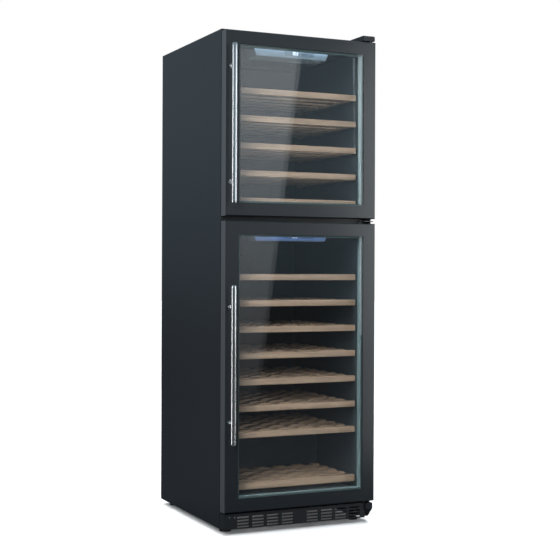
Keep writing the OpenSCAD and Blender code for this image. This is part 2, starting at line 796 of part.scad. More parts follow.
// A shell open to the back, with a ringed guard over its fan and the fan's motor on two arms
module duct_cover(z0, z1, fan_z) {
    half = duct_w / 2;
    slit_half = duct_w * 0.3;
    slit_h = 6;
    slit_row = 14;
    motor_y = fan_y + fan_depth + 1;
    color(dark_liner) {
        difference() {
            block([-half, duct_y, z0], [half, liner_back - air, z1]);
            block([-half + duct_t, duct_y + duct_t, z0 + duct_t],
                [half - duct_t, liner_back + eps, z1 - duct_t]);
            for (r = [zone_fan_r * 0.35 : zone_fan_r * 0.17 : zone_fan_r])
                difference() {
                    rod_y(0, duct_y - eps, fan_z, r, duct_t + 2 * eps);
                    rod_y(0, duct_y - 2 * eps, fan_z, r - 5, duct_t + 4 * eps);
                    for (a = [0, 60, 120]) translate([0, duct_y, fan_z]) rotate([0, a, 0])
                        cube([2 * fan_hole_r, 20, 4], center = true);
                }
            for (z = [z0 + 40 : slit_row : z0 + 40 + 5 * slit_row])
                block([-slit_half, duct_y - eps, z], [slit_half, duct_y + duct_t + eps, z + slit_h]);
        }
        rod_y(0, motor_y, fan_z, 16, liner_back - air - motor_y);
        block([-half + duct_t, liner_back - air - 3, fan_z - 5],
            [half - duct_t, liner_back - air, fan_z + 5]);
        rod_y(0, fan_y + 1, fan_z, shaft_r, fan_depth + 2);
    }
}

module upper_duct_cover() { duct_cover(upper_floor + 30, upper_ceiling - 26, upper_fan_z); }
module lower_duct_cover() { duct_cover(step_z + 20, lower_ceiling - 26, lower_fan_z); }

// Pitched blades on a hub, with a shaft bore along Y
module rotor(r, hub_r, depth, blades) {
    difference() {
        union() {
            cylinder(r = hub_r, h = depth);
            intersection() {
                cylinder(r = r, h = depth);
                for (i = [0 : blades - 1]) rotate([0, 0, i * 360 / blades])
                    translate([r / 2, 0, depth / 2]) rotate([38, 0, 0])
                        cube([r + 4, 2, depth * 2], center = true);
            }
        }
        translate([0, 0, -eps]) cylinder(r = shaft_r + running_clear, h = depth + 2 * eps);
    }
}

module zone_fan(fan_z) {
    color(black_plastic)
        translate([0, fan_y, fan_z]) rotate([-90, 0, 0]) rotor(zone_fan_r, 19, fan_depth, 7);
}

module upper_fan() { zone_fan(upper_fan_z); }
module lower_fan() { zone_fan(lower_fan_z); }

evap_w = 260;
evap_h = 170;
evap_fins = 14;
tube_r = 4;

// Finned coil: upright fins on a tube that runs to and fro
module fin_coil(w, h, d, fins, passes) {
    row = h / passes;
    tube_len = w + 16;
    fin_t = 1;
    for (x = [for (i = [0 : fins - 1]) -w / 2 + i * (w - fin_t) / (fins - 1)])
        difference() {
            block([x, -d / 2, -h / 2], [x + fin_t, d / 2, h / 2]);
            for (k = [0 : passes - 1]) translate([0, 0, (k + 0.5) * row - h / 2]) rotate([0, 90, 0])
                cylinder(r = tube_r + 0.1, h = 2 * w, center = true);
        }
    for (k = [0 : passes - 1]) translate([0, 0, (k + 0.5) * row - h / 2]) rotate([0, 90, 0])
        cylinder(r = tube_r, h = tube_len, center = true);
    for (k = [0 : passes - 2])
        translate([(k % 2 == 0 ? 1 : -1) * tube_len / 2, 0, (k + 1) * row - h / 2])
            rotate([90, 0, k % 2 == 0 ? 0 : 180]) rotate([0, 0, -90])
                rotate_extrude(angle = 180) translate([row / 2, 0]) circle(r = tube_r);
}

module evaporators() {
    y = (duct_y + duct_t + liner_back) / 2;
    upper_z = (upper_floor + upper_fan_z - fan_hole_r) / 2 + 60;
    lower_z = (step_z + lower_fan_z - fan_hole_r) / 2 + 60;
    color([0.75, 0.76, 0.78])
        for (z = [upper_z, lower_z]) translate([0, y, z]) fin_coil(evap_w, evap_h, 24, evap_fins, 4);
}

// ---------------------------------------------------------------- controls

housing_y = door_y + housing_setback;

// A wedge-ended box under a zone's ceiling, hollow from above
display_w = 120;
display_x = 32;
display_z0 = 9;
display_z1 = 27;
display_t = 1.5;

module control_housing(ceiling) {
    low = ceiling - housing_h;
    slant = 16;
    half = housing_w / 2;
    color(black_plastic) difference() {
        translate([0, housing_y + housing_d, 0]) rotate([90, 0, 0]) linear_extrude(housing_d) polygon([
            [-half, ceiling - air], [-half + slant, low], [half - slant, low], [half, ceiling - air]]);
        block([-half + slant + 4, housing_y + 3, low + 3],
            [half - slant - 4, housing_y + housing_d - 3, ceiling]);
        block([-display_w / 2 + display_x, housing_y - eps, low + display_z0],
            [display_w / 2 + display_x, housing_y + display_t, low + display_z1]);
    }
}

module upper_control_housing() { control_housing(upper_ceiling); }
module lower_control_housing() { control_housing(lower_ceiling); }

module control_displays() {
    color([0.02, 0.03, 0.04]) for (ceiling = [upper_ceiling, lower_ceiling]) {
        low = ceiling - housing_h;
        block([-display_w / 2 + display_x + air, housing_y + air, low + display_z0 + air],
            [display_w / 2 + display_x - air, housing_y + display_t, low + display_z1 - air]);
    }
}

module light_strips() {
    color([0.55, 0.75, 1.0]) for (ceiling = [upper_ceiling, lower_ceiling])
        block([-light_len / 2, housing_y - 14, ceiling - 6], [light_len / 2, housing_y - 4, ceiling - air]);
}

// ---------------------------------------------------------------- compressor bay

compressor_x = -half_w * 0.45;
compressor_y = bay_y + bay_d * 0.48;
bay_floor = bay_plate_z + base_t;
mount_h = 16;
compressor_z = bay_floor + mount_h;
foot_dx = 78;
foot_dy = 52;
compressor_feet = [
    for (sx = [-1, 1], sy = [-1, 1]) [compressor_x + sx * foot_dx, compressor_y + sy * foot_dy]
];

module compressor() {
    r = compressor_r;
    h = compressor_h;
    color([0.05, 0.05, 0.05]) {
        translate([compressor_x, compressor_y, compressor_z]) union() {
            difference() {
                block([-foot_dx - 16, -foot_dy - 14, 0], [foot_dx + 16, foot_dy + 14, 3]);
                for (sx = [-1, 1], sy = [-1, 1])
                    translate([sx * foot_dx, sy * foot_dy, -eps]) cylinder(r = 6 + air, h = 6);
            }
            translate([0, 0, 3]) rotate_extrude() union() {
                square([r, h * 0.7]);
                translate([0, h * 0.7]) intersection() {
                    scale([1, h * 0.3 / r]) circle(r = r);
                    square([r, h]);
                }
                translate([0, h * 0.48]) square([r + 3, 6]);
            }
            block([-22, -r - 26, 30], [22, -r + 12, 82]);
            translate([-r + 4, 20, 60]) rotate([0, -90, 0]) cylinder(r = 5, h = 22);
        }
    }
}

module compressor_mounts() {
    color([0.03, 0.03, 0.03]) for (p = compressor_feet)
        translate([p[0], p[1], 0]) union() {
            translate([0, 0, bay_floor]) cylinder(r = 12, h = mount_h);
            translate([0, 0, bay_floor + mount_h / 2]) cylinder(r = 6, h = mount_h / 2 + 6);
            translate([0, 0, compressor_z + 3.2]) cylinder(r = 9, h = 3);
            translate([0, 0, bay_plate_z - 2]) cylinder(r = mount_stud_r, h = 8);
        }
}

coil_x = half_w * 0.42;
coil_w = 150;
coil_h = 150;
coil_y = bay_y + 42;
coil_z = bay_floor + coil_h / 2 + 4;
coil_foot_x = coil_w / 2 - 18;

module condenser() {
    color([0.35, 0.33, 0.30]) {
        translate([coil_x, coil_y, coil_z]) fin_coil(coil_w, coil_h, 40, 16, 5);
        for (sx = [-1, 1])
            block([coil_x + sx * coil_foot_x - 5, coil_y - 16, bay_floor],
                [coil_x + sx * coil_foot_x + 5, coil_y + 16, coil_z - coil_h / 2]);
    }
}

shroud_y = coil_y + 30;
shroud_t = 3;
blower_depth = 24;

// Plate with a round mouth, a guard ring behind it and the motor on three arms
module condenser_fan_frame() {
    half = coil_w / 2;
    mouth = condenser_fan_r + 3;
    color(zinc) {
        difference() {
            union() {
                block([coil_x - half, shroud_y, bay_floor],
                    [coil_x + half, shroud_y + shroud_t, coil_z + half]);
                rod_y(coil_x, shroud_y, coil_z, mouth + 2, blower_depth + 6);
            }
            rod_y(coil_x, shroud_y - eps, coil_z, mouth, blower_depth + 10);
        }
        for (a = [30, 150, 270])
            translate([coil_x, shroud_y + blower_depth + 6, coil_z]) rotate([0, a, 0])
                block([10, -4, -4], [mouth + 2, 0, 4]);
        rod_y(coil_x, shroud_y + blower_depth + 2, coil_z, 20, 34);
        rod_y(coil_x, shroud_y, coil_z, shaft_r, blower_depth + 4);
    }
}

module condenser_fan() {
    color(black_plastic) translate([coil_x, shroud_y + 1, coil_z]) rotate([-90, 0, 0])
        rotor(condenser_fan_r, 22, blower_depth, 5);
}

// Tray that catches the defrost water over the compressor
module drain_pan() {
    z = compressor_z + 3 + compressor_h + 6;
    color(black_plastic) translate([compressor_x, compressor_y, z]) {
        difference() {
            block([-76, -56, 0], [76, 56, 26]);
            block([-74, -54, 2], [74, 54, 30]);
        }
        for (s = [-1, 1]) block([s * 60 - 4, 54, 20], [s * 60 + 4, 60, 26]);
    }
}

inlet_x = half_w - 70;
inlet_z = bay_floor;

// Appliance inlet: a box with a recessed socket and three blades, facing the back
module power_inlet() {
    color(black_plastic) {
        difference() {
            block([inlet_x - 26, back_y - 50, inlet_z], [inlet_x + 26, back_y - 4, inlet_z + 62]);
            block([inlet_x - 12, back_y - 22, inlet_z + 30], [inlet_x + 12, back_y, inlet_z + 46]);
        }
        for (p = [[-7, 36], [7, 36], [0, 41]]) translate([inlet_x + p[0], back_y, inlet_z + p[1]])
            block([-1, -22, -2], [1, -10, 2]);
    }
}

cabinet_wrap();
face_frame();
back_panel();
insulation_foam();
upper_liner();
lower_liner();
base_frame();
kick_grille();
levelling_feet();
top_hinge();
middle_hinge();
bottom_hinge();
hinge_cover();
cabinet_screws();
shelf_rails();
upper_duct_cover();
lower_duct_cover();
evaporators();
upper_control_housing();
lower_control_housing();
control_displays();
light_strips();
compressor();
compressor_mounts();
condenser();
condenser_fan_frame();
drain_pan();
power_inlet();
upper_fan();
lower_fan();
condenser_fan();
upper_door_frame();
upper_door_outer_glass();
upper_door_inner_glass();
upper_door_spacer();
upper_door_gasket();
upper_door_handle();
upper_handle_posts();
upper_door_bushes();
lower_door_frame();
lower_door_outer_glass();
lower_door_inner_glass();
lower_door_spacer();
lower_door_gasket();
lower_door_handle();
lower_handle_posts();
lower_door_bushes();
upper_shelf_1();
upper_shelf_2();
upper_shelf_3();
upper_shelf_4();
upper_shelf_5();
lower_shelf_1();
lower_shelf_2();
lower_shelf_3();
lower_shelf_4();
lower_shelf_5();
lower_shelf_6();
lower_shelf_7();
bottom_rack();
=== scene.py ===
"""Looks for a tall two-door wine cooler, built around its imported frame."""

import json
import logging
import math
from collections.abc import Callable, Sequence
from dataclasses import dataclass, field
from enum import Enum
from typing import Any

import bmesh
import bpy
from mathutils import Matrix, Vector


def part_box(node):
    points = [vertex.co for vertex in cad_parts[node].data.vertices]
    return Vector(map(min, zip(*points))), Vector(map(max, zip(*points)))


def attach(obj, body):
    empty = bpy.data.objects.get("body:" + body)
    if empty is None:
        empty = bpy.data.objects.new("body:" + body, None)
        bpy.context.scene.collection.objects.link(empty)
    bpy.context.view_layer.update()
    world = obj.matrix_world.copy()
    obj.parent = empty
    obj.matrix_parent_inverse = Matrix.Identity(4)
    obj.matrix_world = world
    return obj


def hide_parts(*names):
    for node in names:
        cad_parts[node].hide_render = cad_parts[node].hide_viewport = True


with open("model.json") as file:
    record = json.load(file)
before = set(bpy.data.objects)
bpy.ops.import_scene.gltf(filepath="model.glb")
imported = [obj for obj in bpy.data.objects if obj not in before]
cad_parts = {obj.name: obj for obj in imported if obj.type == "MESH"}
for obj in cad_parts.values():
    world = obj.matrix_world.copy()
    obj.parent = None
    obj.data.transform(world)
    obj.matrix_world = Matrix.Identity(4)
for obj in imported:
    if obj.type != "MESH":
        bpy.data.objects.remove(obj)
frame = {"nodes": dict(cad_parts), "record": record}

log = logging.getLogger("wine_cooler")
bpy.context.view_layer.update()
MM = 0.001
WELD = 1e-6  # points nearer to each other than this are one point
CREASE = 32.0  # the angle in degrees over which an edge stays sharp
Colour = tuple[float, float, float]
Point = tuple[float, float, float]
Flat = tuple[float, float]
Spots = list[tuple[Point, Point]]
UP: Point = (0.0, 0.0, 1.0)
DOWN: Point = (0.0, 0.0, -1.0)
FORWARDS: Point = (0.0, -1.0, 0.0)
BACKWARDS: Point = (0.0, 1.0, 0.0)
WHITE = (1.0, 1.0, 1.0, 1.0)


class Zone(Enum):
    """The two cooled zones, each with its own door."""

    UPPER = "upper"
    LOWER = "lower"


def hang(name: str, data: Any) -> bpy.types.Object:
    """Returns a new object in the scene for a mesh, a lamp or a camera.

    Args:
        name: The object's name.
        data: The mesh, lamp or camera.

    Returns:
        The object.
    """
    made = bpy.data.objects.new(name, data)
    bpy.context.scene.collection.objects.link(made)
    return made


def made_plain(holder: bpy.types.Object) -> bpy.types.Mesh:
    """Returns an object's mesh with its modifiers worked in.

    Args:
        holder: The object.

    Returns:
        The plain mesh.
    """
    bpy.context.view_layer.update()
    return bpy.data.meshes.new_from_object(holder.evaluated_get(bpy.context.evaluated_depsgraph_get()))


# ---------------------------------------------------------------- shader wiring


class Wiring:
    """Adds nodes to a node tree and joins them in one call."""

    def __init__(self, tree: bpy.types.NodeTree) -> None:
        """Keeps the tree.

        Args:
            tree: The material, group or world tree to fill.
        """
        self.tree = tree

    @classmethod
    def fresh(cls, owner: Any) -> "Wiring":
        """Clears the nodes of a material, world or lamp.

        Args:
            owner: The material, world or lamp.

        Returns:
            Its wiring.
        """
        owner.use_nodes = True
        owner.node_tree.nodes.clear()
        return cls(owner.node_tree)

    def add(self, kind: str, props: dict[str, Any] | None = None, **sockets: Any) -> bpy.types.Node:
        """Adds one node.

        Args:
            kind: The node's type name.
            props: Settings of the node itself.
            **sockets: A value or an output socket for each input, by name with _ for a space, or by iN.

        Returns:
            The new node.
        """
        node = self.tree.nodes.new(kind)
        for key, value in (props or {}).items():
            setattr(node, key, value)
        for key, value in sockets.items():
            by_place = key[0] == "i" and key[1:].isdigit()
            socket = node.inputs[int(key[1:])] if by_place else node.inputs[key.replace("_", " ")]
            if isinstance(value, bpy.types.NodeSocket):
                self.tree.links.new(value, socket)
            else:
                socket.default_value = value
        return node

    def maths(self, operation: str, a: Any, b: Any = 0.0, clamp: bool = False) -> bpy.types.NodeSocket:
        """Returns the result socket of a Math node on a and b."""
        return self.add("ShaderNodeMath", {"operation": operation, "use_clamp": clamp}, i0=a, i1=b).outputs[0]

    def blend(self, factor: Any, a: Any, b: Any) -> bpy.types.NodeSocket:
        """Returns the colour a blended towards b by factor.

        Args:
            factor: The share of b.
            a: A colour or an output socket.
            b: Another.

        Returns:
            The blended colour.
        """
        a = (*a, 1.0) if isinstance(a, tuple) and len(a) == 3 else a
        b = (*b, 1.0) if isinstance(b, tuple) and len(b) == 3 else b
        return self.add("ShaderNodeMix", {"data_type": "RGBA"}, i0=factor, i6=a, i7=b).outputs[2]

    def spread(
        self, value: Any, low: float, high: float, to_low: float, to_high: float
    ) -> bpy.types.NodeSocket:
        """Returns value mapped from low..high to to_low..to_high."""
        node = self.add("ShaderNodeMapRange", None, i0=value, i1=low, i2=high, i3=to_low, i4=to_high)
        return node.outputs[0]

    def split(self, vector: Any) -> Any:
        """Returns the X, Y and Z outputs of a vector."""
        return self.add("ShaderNodeSeparateXYZ", None, i0=vector).outputs

    def stretched(self, vector: Any, scale: Point) -> bpy.types.NodeSocket:
        """Returns a vector scaled by three numbers."""
        return self.add("ShaderNodeVectorMath", {"operation": "MULTIPLY"}, i0=vector, i1=scale).outputs[0]

    def noise(
        self, vector: Any, scale: float, detail: float = 3.0, rough: float = 0.55
    ) -> bpy.types.NodeSocket:
        """Returns the value of a noise texture on vector."""
        kind = "ShaderNodeTexNoise"
        return self.add(kind, None, Vector=vector, Scale=scale, Detail=detail, Roughness=rough).outputs["Fac"]

    def bump(self, height: Any, distance: float, strength: float) -> bpy.types.NodeSocket:
        """Returns the normal of a Bump node."""
        kind = "ShaderNodeBump"
        return self.add(kind, None, Height=height, Distance=distance, Strength=strength).outputs[0]


class Effects:
    """Shader node groups that several finishes share, each built once."""

    def __init__(self) -> None:
        """Builds the groups."""
        place = {"Vector": "Vector"}
        fine = {**place, "Fine": 400.0}
        self.mottle = self._group("surface_mottle", fine, ["Cloud", "Grain"], self._mottle)
        self.streaks = self._group("brushed_streaks", place, ["Streak", "Drift"], self._streaks)
        self.wear = self._group("edge_wear", {**place, "Reach": 0.05}, ["Mask"], self._wear)
        self.dust = self._group("settled_dust", {**place, "Amount": 0.2}, ["Mask"], self._dust)
        self.beech = self._group("beech_grain", place, ["Figure", "Fleck", "Relief"], self._beech)

    def _group(
        self, name: str, inputs: dict[str, Any], outputs: Sequence[str], fill: Callable
    ) -> bpy.types.NodeTree:
        """Makes a group, its sockets and its contents.

        Args:
            name: The group's name.
            inputs: Each input's name with its value, or "Vector" for a vector.
            outputs: The names of its value outputs.
            fill: A method that takes the wiring and the inputs and returns one socket for each output.

        Returns:
            The group's tree.
        """
        tree = bpy.data.node_groups.new(name, "ShaderNodeTree")
        for label, value in inputs.items():
            kind = "NodeSocketVector" if value == "Vector" else "NodeSocketFloat"
            socket = tree.interface.new_socket(name=label, in_out="INPUT", socket_type=kind)
            if value != "Vector":
                socket.default_value = value
        for label in outputs:
            tree.interface.new_socket(name=label, in_out="OUTPUT", socket_type="NodeSocketFloat")
        wiring = Wiring(tree)
        source = wiring.add("NodeGroupInput").outputs
        sink = wiring.add("NodeGroupOutput")
        for label, socket in zip(outputs, fill(wiring, source)):
            tree.links.new(socket, sink.inputs[label])
        return tree

    @staticmethod
    def _mottle(w: Wiring, source: Any) -> list[bpy.types.NodeSocket]:
        """Returns a slow cloud and a fine grain."""
        fine = w.add("ShaderNodeTexNoise", None, Vector=source["Vector"], Scale=source["Fine"], Detail=2.0)
        return [w.noise(source["Vector"], 7.0, 4.0, 0.6), fine.outputs["Fac"]]

    @staticmethod
    def _streaks(w: Wiring, source: Any) -> list[bpy.types.NodeSocket]:
        """Returns hair-fine streaks and their slow drift, along the stretched axis of the vector."""
        return [w.noise(source["Vector"], 1.0, 4.0, 0.7), w.noise(source["Vector"], 0.08, 2.0)]

    @staticmethod
    def _wear(w: Wiring, source: Any) -> list[bpy.types.NodeSocket]:
        """Returns a mask that is strongest on rubbed outer edges.

        Args:
            w: The wiring to add to.
            source: The group's inputs.

        Returns:
            A socket for each of the group's outputs.
        """
        seen = w.add("ShaderNodeNewGeometry").outputs
        alike = w.add(
            "ShaderNodeVectorMath", {"operation": "DOT_PRODUCT"}, i0=seen["Normal"], i1=seen["True Normal"]
        )
        bent = w.spread(alike.outputs["Value"], 0.997, 0.95, 0.0, 1.0)
        outer = w.spread(seen["Pointiness"], 0.5, 0.52, 0.0, 1.0)
        edge = w.maths("MULTIPLY", bent, outer)
        patchy = w.spread(w.noise(source["Vector"], 60.0, 5.0, 0.65), 0.45, 0.7, 0.0, 1.0)
        return [w.maths("MULTIPLY", w.maths("MULTIPLY", edge, patchy), source["Reach"], True)]

    @staticmethod
    def _dust(w: Wiring, source: Any) -> list[bpy.types.NodeSocket]:
        """Returns a mask of fine dust on faces that look up.

        Args:
            w: The wiring to add to.
            source: The group's inputs.

        Returns:
            A socket for each of the group's outputs.
        """
        up = w.split(w.add("ShaderNodeNewGeometry").outputs["Normal"])[2]
        lying = w.maths("POWER", w.maths("MAXIMUM", up, 0.0), 3.0)
        speck = w.spread(w.noise(source["Vector"], 260.0, 4.0, 0.7), 0.35, 0.75, 0.0, 1.0)
        return [w.maths("MULTIPLY", w.maths("MULTIPLY", lying, speck), source["Amount"], True)]

    @staticmethod
    def _beech(w: Wiring, source: Any) -> list[bpy.types.NodeSocket]:
        """Returns beech's figure, its short dark flecks and a relief, with the grain along X.

        Args:
            w: The wiring to add to.
            source: The group's inputs.

        Returns:
            A socket for each of the group's outputs.
        """
        slow = w.stretched(source["Vector"], (3.0, 12.0, 12.0))
        drift = w.add("ShaderNodeTexNoise", None, Vector=slow, Scale=1.0)
        bent = w.add(
            "ShaderNodeVectorMath", {"operation": "MULTIPLY_ADD"},
            i0=drift.outputs["Color"], i1=(0.0, 0.02, 0.02), i2=source["Vector"],
        ).outputs[0]
        figure = w.noise(w.stretched(bent, (2.5, 90.0, 90.0)), 1.0, 5.0, 0.55)
        fleck = w.spread(w.noise(w.stretched(bent, (160.0, 1400.0, 1400.0)), 1.0, 1.0), 0.62, 0.72, 0.0, 1.0)
        pores = w.noise(w.stretched(bent, (30.0, 1800.0, 1800.0)), 1.0, 2.0)
        relief = w.maths("SUBTRACT", w.maths("MULTIPLY", pores, 0.7), w.maths("MULTIPLY", fleck, 0.3))
        return [figure, fleck, relief]


# ---------------------------------------------------------------- finishes


@dataclass(frozen=True)
class Finish:
    """How a surface looks, and the record's slot that it belongs to.

    Attributes:
        slot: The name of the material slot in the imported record.
        colour: The base colour, linear.
        roughness: The mean roughness.
    """

    slot: str
    colour: Colour
    roughness: float

    def material(self, fx: Effects, suffix: str = "") -> bpy.types.Material:
        """Makes this finish's material.

        Args:
            fx: The shared effects.
            suffix: Added to the material's name.

        Returns:
            The material.
        """
        made = bpy.data.materials.new(f"{self.slot}{suffix}")
        wiring = Wiring.fresh(made)
        where = wiring.add("ShaderNodeTexCoord").outputs["Object"]
        output = wiring.add("ShaderNodeOutputMaterial")
        made.node_tree.links.new(self.shade(wiring, where, fx), output.inputs["Surface"])
        made.diffuse_color = (*self.colour, 1.0)
        return made

    def shade(self, w: Wiring, where: bpy.types.NodeSocket, fx: Effects) -> bpy.types.NodeSocket:
        """Returns the shader socket of the surface.

        Args:
            w: The wiring to add to.
            where: The surface's own coordinates.
            fx: The shared effects.

        Returns:
            The shader socket.
        """
        raise NotImplementedError

    @staticmethod
    def effect(w: Wiring, tree: bpy.types.NodeTree, **sockets: Any) -> Any:
        """Places a shared group and returns its outputs.

        Args:
            w: The wiring to add to.
            tree: The group's tree.
            **sockets: A value or an output socket for each of its inputs.

        Returns:
            The outputs.
        """
        group = w.add("ShaderNodeGroup", {"node_tree": tree})
        for name, value in sockets.items():
            if isinstance(value, bpy.types.NodeSocket):
                w.tree.links.new(value, group.inputs[name])
            else:
                group.inputs[name].default_value = value
        return group.outputs

    def tones(self, darker: float, lighter: float) -> tuple[Colour, Colour]:
        """Returns the base colour made darker and lighter by two factors."""
        return tuple(c * darker for c in self.colour), tuple(c * lighter for c in self.colour)

    def uneven(
        self, w: Wiring, pattern: bpy.types.NodeSocket, less: float, more: float
    ) -> bpy.types.NodeSocket:
        """Returns the roughness, varied by a pattern from less below its mean to more above it."""
        return w.spread(pattern, 0.3, 0.7, self.roughness - less, self.roughness + more)


@dataclass(frozen=True)
class PaintedSteel(Finish):
    """Baked satin paint with a faint orange peel, rubbed edges and a little dust.

    Attributes:
        wear: The strength of the rubbed edges.
        dust: The strength of the dust.
        coat: The weight of the clear gloss on top.
        edge: The colour of the outer side faces, where they differ.
        edge_at: How far out from the middle those faces start.
    """

    wear: float = 0.35
    dust: float = 0.10
    coat: float = 0.0
    edge: Colour | None = None
    edge_at: float = 0.2967

    def shade(self, w: Wiring, where: bpy.types.NodeSocket, fx: Effects) -> bpy.types.NodeSocket:
        """Returns the paint's shader.

        Args:
            w: The wiring to add to.
            where: The surface's own coordinates.
            fx: The shared effects.

        Returns:
            The shader socket.
        """
        mottle = self.effect(w, fx.mottle, Vector=where, Fine=520.0)
        dark, light = self.tones(0.95, 1.05)
        base = w.blend(mottle["Cloud"], dark, light)
        if self.edge:
            out = w.maths("ABSOLUTE", w.split(where)[0])
            base = w.blend(w.maths("GREATER_THAN", out, self.edge_at), base, self.edge)
        worn = self.effect(w, fx.wear, Vector=where, Reach=self.wear)["Mask"]
        base = w.blend(worn, base, (0.16, 0.17, 0.18))
        dusty = self.effect(w, fx.dust, Vector=where, Amount=self.dust)["Mask"]
        base = w.blend(dusty, base, (0.30, 0.29, 0.27))
        rough = self.uneven(w, mottle["Cloud"], 0.008, 0.008)
        rough = w.maths("ADD", rough, w.maths("MULTIPLY", dusty, 0.3), True)
        return w.add(
            "ShaderNodeBsdfPrincipled", None, Base_Color=base, Roughness=rough, IOR=1.5,
            Coat_Weight=self.coat, Coat_Roughness=0.12, Normal=w.bump(mottle["Grain"], 0.00003, 0.3),
        ).outputs[0]


@dataclass(frozen=True)
class BrushedMetal(Finish):
    """Bare metal with hair-fine brushing.

    Attributes:
        stretch: How dense the streaks are along X, Y and Z.
        depth: The strength of their relief.
        wear: The strength of the bright rubbed edges.
        metal: How much of the surface shows as bare metal.
    """

    stretch: Point = (40.0, 40.0, 2600.0)
    depth: float = 0.12
    wear: float = 0.2
    metal: float = 1.0

    def shade(self, w: Wiring, where: bpy.types.NodeSocket, fx: Effects) -> bpy.types.NodeSocket:
        """Returns the metal's shader.

        Args:
            w: The wiring to add to.
            where: The surface's own coordinates.
            fx: The shared effects.

        Returns:
            The shader socket.
        """
        streaks = self.effect(w, fx.streaks, Vector=w.stretched(where, self.stretch))
        dark, light = self.tones(0.82, 1.10)
        base = w.blend(streaks["Streak"], dark, light)
        smear = self.effect(w, fx.mottle, Vector=where, Fine=90.0)
        worn = self.effect(w, fx.wear, Vector=where, Reach=self.wear)["Mask"]
        base = w.blend(worn, base, (0.9, 0.9, 0.9))
        rough = w.spread(streaks["Streak"], 0.25, 0.75, self.roughness - 0.05, self.roughness + 0.07)
        rough = w.maths("ADD", rough, w.spread(smear["Cloud"], 0.4, 0.7, 0.0, 0.06), True)
        return w.add(
            "ShaderNodeBsdfPrincipled", None, Base_Color=base, Metallic=self.metal, Roughness=rough,
            Normal=w.bump(streaks["Streak"], 0.0001, self.depth),
        ).outputs[0]


@dataclass(frozen=True)
class MouldedPlastic(Finish):
    """Moulded plastic with a spark-eroded grain.

    Attributes:
        grain: The scale of the grain.
        depth: The strength of the grain's relief.
        dust: The strength of the dust.
    """

    grain: float = 900.0
    depth: float = 0.25
    dust: float = 0.08

    def shade(self, w: Wiring, where: bpy.types.NodeSocket, fx: Effects) -> bpy.types.NodeSocket:
        """Returns the plastic's shader.

        Args:
            w: The wiring to add to.
            where: The surface's own coordinates.
            fx: The shared effects.

        Returns:
            The shader socket.
        """
        mottle = self.effect(w, fx.mottle, Vector=where, Fine=self.grain)
        dark, light = self.tones(0.85, 1.15)
        both = w.maths("MULTIPLY", w.maths("ADD", mottle["Cloud"], mottle["Grain"]), 0.5)
        base = w.blend(both, dark, light)
        scuffed = self.effect(w, fx.wear, Vector=where, Reach=0.25)["Mask"]
        base = w.blend(scuffed, base, tuple(min(1.0, c * 2.2 + 0.03) for c in self.colour))
        dusty = self.effect(w, fx.dust, Vector=where, Amount=self.dust)["Mask"]
        base = w.blend(dusty, base, (0.28, 0.27, 0.25))
        rough = self.uneven(w, mottle["Cloud"], 0.05, 0.06)
        return w.add(
            "ShaderNodeBsdfPrincipled", None, Base_Color=base, Roughness=rough, IOR=1.49,
            Normal=w.bump(mottle["Grain"], 0.0003, self.depth),
        ).outputs[0]


@dataclass(frozen=True)
class Timber(Finish):
    """Beech with a thin satin lacquer, its grain along X, or along Y for runners.

    Attributes:
        along_y: True if the grain follows Y.
    """

    along_y: bool = False

    def shade(self, w: Wiring, where: bpy.types.NodeSocket, fx: Effects) -> bpy.types.NodeSocket:
        """Returns the timber's shader.

        Args:
            w: The wiring to add to.
            where: The surface's own coordinates.
            fx: The shared effects.

        Returns:
            The shader socket.
        """
        if self.along_y:
            part = w.split(where)
            where = w.add("ShaderNodeCombineXYZ", None, i0=part[1], i1=part[0], i2=part[2]).outputs[0]
        beech = self.effect(w, fx.beech, Vector=where)
        dark, light = self.tones(0.72, 1.22)
        base = w.blend(w.spread(beech["Figure"], 0.3, 0.7, 0.0, 1.0), dark, light)
        base = w.blend(w.maths("MULTIPLY", beech["Fleck"], 0.55), base, tuple(c * 0.42 for c in self.colour))
        worn = self.effect(w, fx.wear, Vector=where, Reach=0.4)["Mask"]
        base = w.blend(worn, base, tuple(min(1.0, c * 1.35) for c in self.colour))
        rough = self.uneven(w, beech["Figure"], 0.06, 0.08)
        return w.add(
            "ShaderNodeBsdfPrincipled", None, Base_Color=base, Roughness=rough, IOR=1.5, Coat_Weight=0.12,
            Coat_Roughness=0.3, Normal=w.bump(beech["Relief"], 0.0002, 0.35),
        ).outputs[0]


@dataclass(frozen=True)
class ClearPane(Finish):
    """Float glass with a faint tint and smudges, which lets lamps through to the inside.

    Attributes:
        through: The colour that lamps keep when they pass one pane.
    """

    through: Colour = (0.90, 0.92, 0.93)

    def shade(self, w: Wiring, where: bpy.types.NodeSocket, fx: Effects) -> bpy.types.NodeSocket:
        """Returns the glass's shader.

        Args:
            w: The wiring to add to.
            where: The surface's own coordinates.
            fx: The shared effects.

        Returns:
            The shader socket.
        """
        smear = self.effect(w, fx.mottle, Vector=where, Fine=60.0)
        rough = w.maths("MULTIPLY", w.spread(smear["Cloud"], 0.55, 0.8, 0.0, 1.0), 0.03, True)
        glass = w.add(
            "ShaderNodeBsdfPrincipled", None, Base_Color=(*self.colour, 1.0), Roughness=rough, IOR=1.5,
            Transmission_Weight=1.0,
        ).outputs[0]
        clear = w.add("ShaderNodeBsdfTransparent", None, Color=(*self.through, 1.0)).outputs[0]
        lamp = w.add("ShaderNodeLightPath").outputs["Is Shadow Ray"]
        return w.add("ShaderNodeMixShader", None, i0=lamp, i1=glass, i2=clear).outputs[0]


